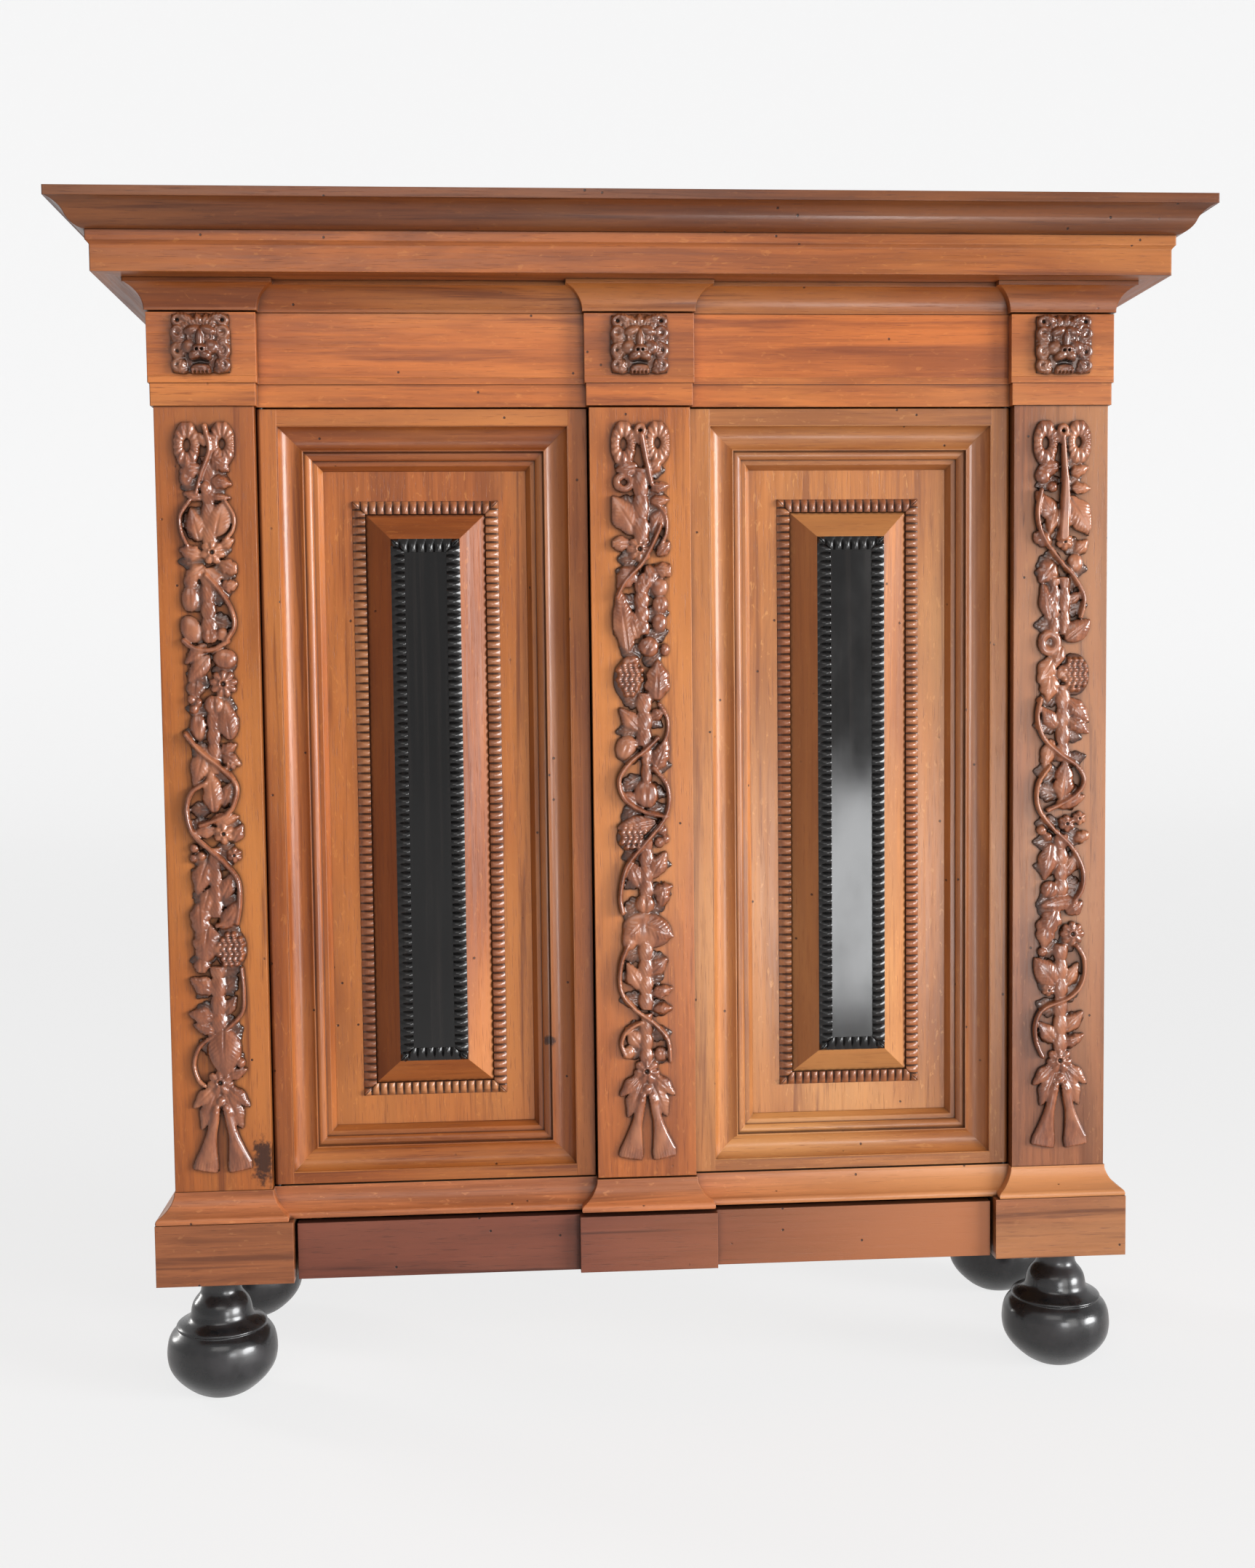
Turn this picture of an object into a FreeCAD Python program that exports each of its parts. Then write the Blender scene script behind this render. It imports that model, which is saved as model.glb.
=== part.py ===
import FreeCAD, Part
import Sketcher
import math
import os
import re

# Oak cupboard with two cushion doors, a long drawer in the base and a wide cornice.
# X runs to the right, the front faces -Y, Z is up. The origin is on the floor,
# under the middle of the whole outline.

doc = FreeCAD.newDocument("Cupboard")
sheet = doc.addObject("Spreadsheet::Sheet", "Sizes")

SIZES = {
    # Whole body, millimetres
    "carcass_width": 1770, "carcass_depth": 620, "cornice_projection": 150, "break_forward": 22,
    "overrun": 5, "seat_gap": 0.3,
    # Heights of the layers, from the floor up
    "foot_height": 245, "plinth_height": 115, "base_moulding_height": 54, "pilaster_height": 1453,
    "architrave_height": 53, "frieze_height": 117, "bed_height": 52, "corona_height": 71,
    "crown_height": 61,
    # Bun feet
    "foot_inset_x": 65, "foot_inset_y": 86, "foot_inset_back": 110, "foot_sole_radius": 42,
    "foot_radius": 104, "foot_widest_height": 86, "foot_shoulder_radius": 88,
    "foot_shoulder_height": 130, "foot_bell_radius": 58, "foot_bell_height": 149,
    "foot_neck_radius": 37, "foot_neck_height": 202, "foot_top_radius": 48,
    # Plinth and drawer guides
    "plinth_projection": 33.5, "plinth_board": 28, "plinth_block_width": 253.5, "guide_board": 25,
    "foot_block_height": 25, "foot_block_front": 195, "foot_block_back": 170, "runner_width": 34,
    "runner_top": 16.7, "runner_bottom": 3, "runner_setback": 44, "base_deck_thickness": 26,
    # Base moulding
    "base_torus_height": 13, "base_torus_projection": 27, "base_torus_share": 0.65,
    "base_cyma_share": 1.19, "base_fillet_height": 5, "base_fillet_projection": 2,
    # Carcass frame
    "pilaster_width": 179.5, "post_thickness": 40, "rear_post_width": 60, "back_board_thickness": 20,
    "back_board_gap": 1, "side_rail_thickness": 28, "side_bottom_rail": 84, "side_middle_rail": 92,
    "side_top_rail": 88, "side_middle_height": 704, "side_panel_thickness": 14, "side_panel_inset": 9,
    "shelf_thickness": 24, "shelf_lower_height": 492, "shelf_upper_height": 980, "shelf_setback": 66,
    "batten_width": 22, "batten_height": 34, "top_board_thickness": 20,
    # Entablature
    "architrave_projection": 8, "architrave_fillet_height": 12, "architrave_fillet_projection": 5,
    "trim_wall": 22, "frieze_line": 3, "bed_projection": 42, "bed_fillet_height": 8,
    "bed_foot_height": 5, "bed_foot_projection": 11, "bed_hollow_share": 0.96, "bed_top_inset": 3,
    "corona_projection": 87, "corona_fillet_height": 18, "corona_fillet_projection": 93,
    "corona_hollow_share": 2.6, "corona_lip": 7, "crown_fillet_height": 17,
    "crown_waist_projection": 122, "crown_waist_height": 23, "crown_round_share": 0.98,
    "crown_hollow_share": 1.22, "crown_step": 3, "cornice_wall": 10, "cornice_rail_thickness": 24,
    "cornice_rail_drop": 40,
    # Frieze masks
    "mask_width": 104, "mask_height": 106, "mask_depth": 17, "mask_back": 7, "muzzle_radius": 19,
    "muzzle_drop": 9, "muzzle_rise": 9,
    # Doors
    "centre_pilaster_width": 187, "door_gap": 2, "door_meeting_gap": 4, "door_foot_gap": 3,
    "door_head_gap": 3, "door_thickness": 52, "door_edge_radius": 7, "outer_stile": 35.5,
    "inner_stile": 38.5, "opening_bottom": 24, "opening_top_drop": 33, "door_moulding_width": 80,
    "field_depth": 41, "cove_edge_depth": 3, "cove_width": 44, "cove_rise_depth": 11,
    "cove_share": 0.6, "quirk_width": 2, "quirk_depth": 19, "ovolo_width": 16, "ovolo_depth": 24,
    "ovolo_share": 0.72, "band_step": 4, "band_width": 9, "cushion_width_share": 0.596,
    "cushion_slope_share": 0.43, "cushion_height": 33, "ripple_width": 24, "ripple_base": 4,
    "ripple_rise": 4, "ripple_pitch": 15, "cushion_end_margin": 79, "ebony_ripple_width": 25,
    "ebony_ripple_base": 3, "ebony_ripple_rise": 3.5, "ebony_panel_thickness": 3.5,
    # Pivots, lock and bolt
    "pivot_inset": 7, "pivot_radius": 5, "pivot_clearance": 0.06,
    "pivot_length": 9, "pivot_socket_width": 18, "pivot_socket_height": 10, "lock_height": 680,
    "lock_width": 150, "lock_tall": 95, "lock_depth": 26, "lock_wall": 3, "lock_edge_inset": 6,
    "bolt_height": 22, "bolt_thickness": 12, "bolt_length": 96, "bolt_clearance": 0.4, "keeper_wall": 5,
    "keeper_depth": 24, "keeper_length": 26, "keeper_inset": 2, "slide_bolt_width": 14,
    "slide_bolt_thickness": 8, "slide_bolt_length": 170, "slide_bolt_inset": 18, "slide_bolt_offset": 3,
    "slide_bolt_drop": 2, "staple_height": 16, "staple_wall": 4, "staple_spacing": 90,
    "staple_drop": 30, "bolt_cleat_width": 70, "bolt_cleat_height": 20, "slide_bolt_knob_radius": 6,
    "slide_bolt_knob_length": 12, "slide_bolt_knob_drop": 75,
    # Drawer
    "drawer_side_gap": 6, "drawer_top_gap": 8, "drawer_bottom_gap": 1, "drawer_setback": 19.5,
    "drawer_front_thickness": 24, "drawer_block_overhang": 36.5, "drawer_side_thickness": 16,
    "drawer_side_clearance": 8, "drawer_end_gap": 22, "drawer_side_lift": 17, "drawer_side_drop": 6,
    "drawer_bottom_thickness": 12,
    # Carved festoons
    "festoon_width": 105, "festoon_top_drop": 31, "festoon_foot_rise": 28, "festoon_ground": 11,
    "festoon_relief": 19, "festoon_boss_radius": 25, "festoon_loop_radius": 20,
    "festoon_tassel_length": 74, "festoon_tassel_gap": 9,
}

for row, (alias, value) in enumerate(SIZES.items(), 1):
    sheet.set(f"A{row}", alias.replace("_", " "))
    sheet.set(f"B{row}", str(value))
    sheet.setAlias(f"B{row}", alias)
doc.recompute()
WORD = re.compile(r"[a-z][a-z_]*")


def full(expression):
    """Writes each size's name in an expression as a reference to its cell."""
    return WORD.sub(lambda m: "Sizes." + m.group(0) if m.group(0) in SIZES else m.group(0), expression)


def val(expression):
    """The value of an expression in millimetres."""
    return float(sheet.evalExpression(full(expression)))


def flip(span):
    """The same span on the other side of the middle plane."""
    return (f"-({span[1]})", f"-({span[0]})")


# Planes and levels, worked out from the sheet
HALF = "carcass_width / 2"
FACE = "cornice_projection - (carcass_depth + cornice_projection) / 2"
BACK = "(carcass_depth + cornice_projection) / 2"
TRIM = f"{FACE} + break_forward"
PLINTH_TOP = "foot_height + plinth_height"
BASE_TOP = f"{PLINTH_TOP} + base_moulding_height"
HEAD = f"{BASE_TOP} + pilaster_height"
FRIEZE = f"{HEAD} + architrave_height"
BED = f"{FRIEZE} + frieze_height"
CORONA = f"{BED} + bed_height"
CROWN = f"{CORONA} + corona_height"
TOP = f"{CROWN} + crown_height"
DECK_TOP = f"{PLINTH_TOP} + base_deck_thickness"
POST_IN = f"{HALF} - pilaster_width"
MEETING = "centre_pilaster_width / 2"
OPEN_OUT = f"{POST_IN} - door_gap - outer_stile"
OPEN_IN = f"{MEETING} + inner_stile"
DRAWER_HALF = f"{HALF} + plinth_projection - plinth_block_width"
POST_BACK = f"{TRIM} + post_thickness"
PIVOT_Y = f"{TRIM} + pivot_inset"
PIVOT_X = {"left": f"-({POST_IN} - door_gap - pivot_inset)", "right": f"{POST_IN} - door_gap - pivot_inset"}
SOCKET = ((f"{POST_IN} - pivot_socket_width", POST_IN), (TRIM, f"{TRIM} + pivot_socket_width"))
REAR_FRONT = f"{BACK} - back_board_thickness - post_thickness"
BOARD_FRONT = f"{BACK} - back_board_thickness"

TURN_YZ = FreeCAD.Rotation(FreeCAD.Vector(1, 1, 1), 120)
TURN_XZ = FreeCAD.Rotation(FreeCAD.Vector(1, 0, 0), 90)
TURN_XY = FreeCAD.Rotation()
nodes = []


def node(piece, label):
    """Marks an object as a sub-part and names it."""
    piece.Label = label
    nodes.append(piece)
    return piece


def box(name, x, y, z):
    """A board between two planes on each axis."""
    piece = doc.addObject("Part::Box", name)
    for prop, axis, span in (("Length", "x", x), ("Width", "y", y), ("Height", "z", z)):
        piece.setExpression(prop, full(f"({span[1]}) - ({span[0]})"))
        piece.setExpression(f"Placement.Base.{axis}", full(span[0]))
    return piece


def pair(name, x, y, z):
    """A board and its twin on the other side of the middle plane."""
    return [box(name + "_right", x, y, z), box(name + "_left", flip(x), y, z)]


def group(name, pieces):
    compound = doc.addObject("Part::Compound", name)
    compound.Links = pieces
    return compound


def fuse(name, pieces):
    joined = doc.addObject("Part::MultiFuse", name)
    joined.Shapes = pieces
    joined.Refine = True
    return joined


def common(name, pieces):
    shared = doc.addObject("Part::MultiCommon", name)
    shared.Shapes = pieces
    return shared


def cut(name, base, tool):
    result = doc.addObject("Part::Cut", name)
    result.Base = base
    result.Tool = tool
    return result


def cylinder(name, radius, x, y, z):
    """An upright round bar at x, y between two heights."""
    bar = doc.addObject("Part::Cylinder", name)
    bar.setExpression("Radius", full(radius))
    bar.setExpression("Height", full(f"({z[1]}) - ({z[0]})"))
    for axis, place in (("x", x), ("y", y), ("z", z[0])):
        bar.setExpression(f"Placement.Base.{axis}", full(place))
    return bar


def pin(sketch, index, end, kind, expression):
    """Holds one coordinate of a sketch point at a size."""
    value = val(expression)
    if value < 0:
        rule = Sketcher.Constraint(kind, index, end, -1, 1, -value)
        expression = f"-({expression})"
    else:
        rule = Sketcher.Constraint(kind, -1, 1, index, end, value)
    number = sketch.addConstraint(rule)
    sketch.setExpression(f"Constraints[{number}]", full(expression))


def outline(name, turn, vertices, closed=True, body=None):
    """A sketch through vertices (u, v), or (u, v, share, turn) where an arc leads to the next.

    The share is the arc's radius over its chord, so an arc keeps its form when its ends move.
    """
    if body is None:
        sketch = doc.addObject("Sketcher::SketchObject", name)
        sketch.Placement = FreeCAD.Placement(FreeCAD.Vector(), turn)
    else:
        sketch = body.newObject("Sketcher::SketchObject", name)
        plane = [f for f in body.Origin.OriginFeatures if f.Role == "XZ_Plane"][0]
        sketch.AttachmentSupport = [(plane, "")]
        sketch.MapMode = "FlatFace"
    spots = [FreeCAD.Vector(val(v[0]), val(v[1]), 0) for v in vertices]
    ends = []
    count = len(vertices) if closed else len(vertices) - 1
    for i in range(count):
        here, there = spots[i], spots[(i + 1) % len(spots)]
        if len(vertices[i]) == 2:
            sketch.addGeometry(Part.LineSegment(here, there))
            ends.append((1, 2))
            continue
        sense = vertices[i][3]
        chord = there - here
        radius = val(vertices[i][2]) * chord.Length
        rise = math.sqrt(radius ** 2 - (chord.Length / 2) ** 2)
        side = FreeCAD.Vector(-chord.y, chord.x, 0).normalize()
        centre = (here + there) / 2 + side * (rise * sense)
        first, last = (here, there) if sense > 0 else (there, here)
        circle = Part.Circle(centre, FreeCAD.Vector(0, 0, 1), radius)
        angles = [math.atan2(p.y - centre.y, p.x - centre.x) for p in (first, last)]
        sketch.addGeometry(Part.ArcOfCircle(circle, angles[0], angles[1]))
        ends.append((1, 2) if sense > 0 else (2, 1))
    for i in range(count):
        following = (i + 1) % len(vertices)
        if following < count:
            rule = Sketcher.Constraint("Coincident", i, ends[i][1], following, ends[following][0])
            sketch.addConstraint(rule)
        pin(sketch, i, ends[i][0], "DistanceX", vertices[i][0])
        pin(sketch, i, ends[i][0], "DistanceY", vertices[i][1])
        if len(vertices[i]) > 2:
            (u, v), (next_u, next_v) = vertices[i][:2], vertices[following][:2]
            radius = f"{vertices[i][2]} * sqrt(pow(({next_u}) - ({u}); 2) + pow(({next_v}) - ({v}); 2))"
            number = sketch.addConstraint(Sketcher.Constraint("Radius", i, val(radius)))
            sketch.setExpression(f"Constraints[{number}]", full(radius))
    if not closed:
        pin(sketch, count - 1, ends[-1][1], "DistanceX", vertices[-1][0])
        pin(sketch, count - 1, ends[-1][1], "DistanceY", vertices[-1][1])
    return sketch


DIRECTIONS = {"x": (1, 0, 0), "y": (0, 1, 0), "z": (0, 0, 1)}


def prism(name, sketch, axis, span):
    """Extends a closed sketch along one axis, from one plane to another."""
    sketch.setExpression(f"Placement.Base.{axis}", full(span[0]))
    solid = doc.addObject("Part::Extrusion", name)
    solid.Base = sketch
    solid.DirMode = "Custom"
    solid.Dir = FreeCAD.Vector(*DIRECTIONS[axis])
    solid.setExpression("LengthFwd", full(f"({span[1]}) - ({span[0]})"))
    solid.Solid = True
    return solid


def stack(name, profile, x, face, back):
    """A moulded layer that turns its profile round the left, front and right of a block.

    The profile runs upwards as (projection, height) or (projection, height, share, bulge),
    where bulge 1 is a round and -1 a hollow up to the next point.
    """
    ahead = [(f"{face} - ({p[0]})", p[1]) + ((p[2], -p[3]) if len(p) > 2 else ()) for p in profile]
    ahead += [(back, profile[-1][1]), (back, profile[0][1])]
    widest = "cornice_projection + overrun"
    front = prism(name + "_front_run", outline(name + "_front_outline", TURN_YZ, ahead), "x",
                  (f"{x[0]} - ({widest})", f"{x[1]} + {widest}"))
    wide = [(f"{x[1]} + ({p[0]})", p[1]) + ((p[2], p[3]) if len(p) > 2 else ()) for p in profile]
    down = list(reversed(profile))
    for i, p in enumerate(down):
        arc = down[i + 1][2:] if i + 1 < len(down) else ()
        wide.append((f"{x[0]} - ({p[0]})", p[1]) + tuple(arc))
    across = prism(name + "_side_run", outline(name + "_side_outline", TURN_XZ, wide), "y",
                   (f"{face} - ({widest})", back))
    return common(name + "_turned", [front, across])


def mitred(label, solid, level):
    """Cuts a layer at its two front corners into the front length and the two returns."""
    reach = "cornice_projection + overrun"
    corners = [(f"-({HALF} + {reach})", f"{FACE} - ({reach})"),
               (f"{HALF} + {reach}", f"{FACE} - ({reach})"),
               ("0", f"{FACE} + {HALF}")]
    wedges = []
    for part in ("front", "returns"):
        sketch = outline(f"{label}_{part}_corners", TURN_XY, corners)
        wedges.append(prism(f"{label}_{part}_wedge", sketch, "z", level))
    front = common(label + "_front_length", [solid, wedges[0]])
    returns = cut(label + "_returns", solid, wedges[1])
    return node(group(label, [front, returns]), label)


def broken_layer(label, profile, wall, level):
    """A moulding that breaks forward over the three pilasters and returns along the sides."""
    inner = f"{TRIM} + {wall}"
    places = [("left", (f"-({HALF})", f"-({POST_IN})")),
              ("centre", ("-centre_pilaster_width / 2", "centre_pilaster_width / 2")),
              ("right", (POST_IN, HALF))]
    runs = [stack(label + "_recess", profile, (f"-({HALF})", HALF), TRIM, BACK)]
    for side, x in places:
        runs.append(stack(f"{label}_{side}_break", profile, x, FACE, BACK))
    whole = fuse(label + "_whole", runs)
    hollow = box(label + "_hollow", (f"-({HALF} - ({wall}))", f"{HALF} - ({wall})"),
                 (inner, f"{BACK} + overrun"), (f"{level[0]} - overrun", f"{level[1]} + overrun"))
    return mitred(label, cut(label + "_ring", whole, hollow), level)


def rosette(x, z, radius, sides, squash=1):
    """Corner points of a regular outline round a middle."""
    turns = [2 * math.pi * (k + 0.5) / sides for k in range(sides)]
    return [(x + radius * math.cos(a), z + radius * squash * math.sin(a)) for a in turns]


def skin(rings):
    """A solid bounded by flat faces between rings of points, closed by its first and last ring."""
    corners = [list(ring) for ring in (rings[0], rings[-1])]
    for lower, upper in zip(rings, rings[1:]):
        for i in range(len(lower)):
            corners.append([lower[i - 1], lower[i], upper[i]])
            corners.append([lower[i - 1], upper[i], upper[i - 1]])
    faces = [Part.Face(Part.makePolygon(points + points[:1])) for points in corners]
    return Part.makeSolid(Part.makeShell(faces)).removeSplitter()


# Points on the rounds of a foot, as shares of the way out or in and of the way up
BULB_SHARES = ((0.50, 0.19), (0.87, 0.53))
SHOULDER_SHARES = ((0.24, 0.62),)
BELL_SHARES = ((0.25, 0.52),)
FOOT_SIDES = 24


def turning(start, end, shares):
    """The start of a round and the points on it, on the way to its end."""
    points = [start]
    for across, up in shares:
        points.append((f"{start[0]} + ({end[0]} - {start[0]}) * {across}",
                       f"{start[1]} + ({end[1]} - {start[1]}) * {up}"))
    return points


def make_feet():
    """Turned bun feet: a wide bulb, a bell above it and a narrow neck."""
    widest = ("foot_radius", "foot_widest_height")
    shoulder = ("foot_shoulder_radius", "foot_shoulder_height")
    neck = ("foot_neck_radius", "foot_neck_height")
    profile = turning(("foot_sole_radius", "0"), widest, BULB_SHARES)
    profile += turning(widest, shoulder, SHOULDER_SHARES) + [shoulder]
    profile += turning(("foot_bell_radius", "foot_bell_height"), neck, BELL_SHARES)
    profile += [neck, ("foot_top_radius", "foot_height")]
    rings = [[FreeCAD.Vector(x, y, val(height)) for x, y in rosette(0, 0, val(radius), FOOT_SIDES)]
             for radius, height in profile]
    feet = []
    for depth, y in (("front", f"{FACE} + foot_inset_y"), ("rear", f"{BACK} - foot_inset_back")):
        for side, sign in (("left", "-"), ("right", "")):
            foot = doc.addObject("Part::Feature", f"foot_{depth}_{side}")
            foot.Shape = skin(rings)
            foot.setExpression("Placement.Base.x", full(f"{sign}({HALF} - foot_inset_x)"))
            foot.setExpression("Placement.Base.y", full(y))
            feet.append(foot)
    node(group("feet", feet), "bun_feet")


def make_plinth():
    """Plinth boards on the feet, with the guides and runners that carry the drawer."""
    z = ("foot_height", PLINTH_TOP)
    outer = f"{HALF} + plinth_projection"
    front = (f"{FACE} - plinth_projection", f"{FACE} - plinth_projection + plinth_board")
    back = (f"{BACK} - plinth_board", BACK)
    inner_front = front[1]
    node(group("plinth_front_boards", pair("plinth_front", (DRAWER_HALF, outer), front, z)),
         "plinth_fronts")
    node(group("plinth_side_boards", pair("plinth_side", (f"{outer} - plinth_board", outer),
                                          (inner_front, BACK), z)), "plinth_sides")
    half_back = f"{outer} - plinth_board"
    node(box("plinth_back", (f"-({half_back})", half_back), back, z), "plinth_back")
    guide = (DRAWER_HALF, f"{DRAWER_HALF} + guide_board")
    runner = (f"{DRAWER_HALF} - runner_width", DRAWER_HALF)
    runner_z = ("foot_height + runner_bottom", "foot_height + runner_top")
    guides = []
    for side, turn in (("right", lambda s: s), ("left", flip)):
        wall = box(f"guide_wall_{side}", turn(guide), (inner_front, back[0]), z)
        ledge = box(f"guide_ledge_{side}", turn(runner),
                    (f"{inner_front} + runner_setback", back[0]), runner_z)
        guides.append(fuse(f"guide_{side}", [wall, ledge]))
    node(group("guides", guides), "drawer_guides")
    block_x = (guide[1], f"{outer} - plinth_board")
    block_z = ("foot_height", "foot_height + foot_block_height")
    blocks = pair("foot_block_front", block_x, (inner_front, f"{inner_front} + foot_block_front"), block_z)
    blocks += pair("foot_block_rear", block_x, (f"{back[0]} - foot_block_back", back[0]), block_z)
    node(group("blocks", blocks), "foot_blocks")
    node(box("base_deck", (f"-({HALF})", HALF), (TRIM, BACK), (PLINTH_TOP, DECK_TOP)), "base_deck")


def make_base_moulding():
    profile = [
        ("plinth_projection - base_fillet_projection", PLINTH_TOP, "base_torus_share", 1),
        ("base_torus_projection", f"{PLINTH_TOP} + base_torus_height", "base_cyma_share", -1),
        ("base_fillet_projection", f"{BASE_TOP} - base_fillet_height"),
        ("base_fillet_projection", BASE_TOP),
    ]
    broken_layer("base_moulding", profile, "0", (PLINTH_TOP, BASE_TOP))


def make_carcass():
    """Posts, framed sides, planked back, floor, shelves and top."""
    z = (DECK_TOP, HEAD)
    node(group("front_post_pair", pair("front_post", (POST_IN, HALF), (TRIM, POST_BACK), z)), "front_posts")
    rear_x = (f"{HALF} - rear_post_width", HALF)
    rear_posts = []
    rebates = pair("rear_rebate", (f"{rear_x[0]} - overrun", f"{HALF} - trim_wall"),
                   (BOARD_FRONT, f"{BACK} + overrun"), (f"{DECK_TOP} - overrun", f"{HEAD} + overrun"))
    for post, rebate in zip(pair("rear_post", rear_x, (REAR_FRONT, BACK), z), rebates):
        rear_posts.append(cut(post.Name + "_rebated", post, rebate))
    node(group("rear_post_pair", rear_posts), "rear_posts")
    rail_x = (f"{HALF} - side_rail_thickness", HALF)
    rail_y = (POST_BACK, REAR_FRONT)
    middle = f"{DECK_TOP} + side_middle_height"
    levels = [(DECK_TOP, f"{DECK_TOP} + side_bottom_rail"), (middle, f"{middle} + side_middle_rail"),
              (f"{HEAD} - side_top_rail", HEAD)]
    rails = []
    for i, level in enumerate(levels):
        rails += pair(f"side_rail_{i}", rail_x, rail_y, level)
    node(group("rails", rails), "side_rails")
    panel_x = (f"{HALF} - side_panel_inset - side_panel_thickness", f"{HALF} - side_panel_inset")
    panels = []
    for i in range(len(levels) - 1):
        panels += pair(f"side_panel_{i}", panel_x, rail_y, (levels[i][1], levels[i + 1][0]))
    node(group("panels", panels), "side_panels")
    planks = []
    plank_count = 8
    back_half = f"({HALF} - trim_wall)"
    for i in range(plank_count):
        left = f"-{back_half} + 2 * {back_half} * {i} / {plank_count}"
        x = (f"{left} + back_board_gap / 2",
             f"{left} + 2 * {back_half} / {plank_count} - back_board_gap / 2")
        planks.append(box(f"back_board_{i}", x, (BOARD_FRONT, BACK), (DECK_TOP, BED)))
    node(group("planks", planks), "back_boards")
    inside = f"{HALF} - side_rail_thickness"
    floor_box = box("floor_board", (f"-({inside})", inside), (TRIM, BOARD_FRONT), (DECK_TOP, BASE_TOP))
    low = (f"{DECK_TOP} - overrun", f"{BASE_TOP} + overrun")
    notches = pair("floor_front_notch", (POST_IN, f"{HALF} + overrun"),
                   (f"{TRIM} - overrun", POST_BACK), low)
    notches += pair("floor_rear_notch", (rear_x[0], f"{HALF} + overrun"),
                    (REAR_FRONT, f"{BOARD_FRONT} + overrun"), low)
    recesses = pair("floor_recess", *SOCKET, (f"{BASE_TOP} - pivot_socket_height", f"{BASE_TOP} + overrun"))
    node(cut("floor_notched", floor_box, group("floor_cuts", notches + recesses)), "cupboard_floor")
    shelves = []
    battens = []
    for name, height in (("lower", "shelf_lower_height"), ("upper", "shelf_upper_height")):
        under = f"{BASE_TOP} + {height}"
        board = box(f"shelf_board_{name}", (f"-({inside}) + seat_gap", f"{inside} - seat_gap"),
                    (f"{POST_BACK} + shelf_setback", BOARD_FRONT), (under, f"{under} + shelf_thickness"))
        notch = group(f"shelf_notches_{name}",
                      pair(f"shelf_notch_{name}", (f"{rear_x[0]} - seat_gap", f"{HALF} + overrun"),
                           (f"{REAR_FRONT} - seat_gap", f"{BOARD_FRONT} + overrun"),
                           (f"{under} - overrun", f"{under} + shelf_thickness + overrun")))
        shelves.append(cut(f"shelf_{name}", board, notch))
        battens += pair(f"batten_{name}", (f"{inside} - batten_width", inside), rail_y,
                        (f"{under} - batten_height", under))
    node(group("shelf_set", shelves), "shelves")
    node(group("batten_set", battens), "shelf_battens")


def make_pilasters():
    z = (BASE_TOP, HEAD)
    for side, turn in (("right", lambda s: s), ("left", flip)):
        node(box(f"pilaster_{side}_board", turn((POST_IN, HALF)), (FACE, TRIM), z), f"pilaster_{side}")
    half = MEETING
    node(box("pilaster_centre_board", (f"-{half}", half), (FACE, TRIM),
             (f"{BASE_TOP} + door_foot_gap", f"{HEAD} - door_head_gap")), "pilaster_centre")


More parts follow.
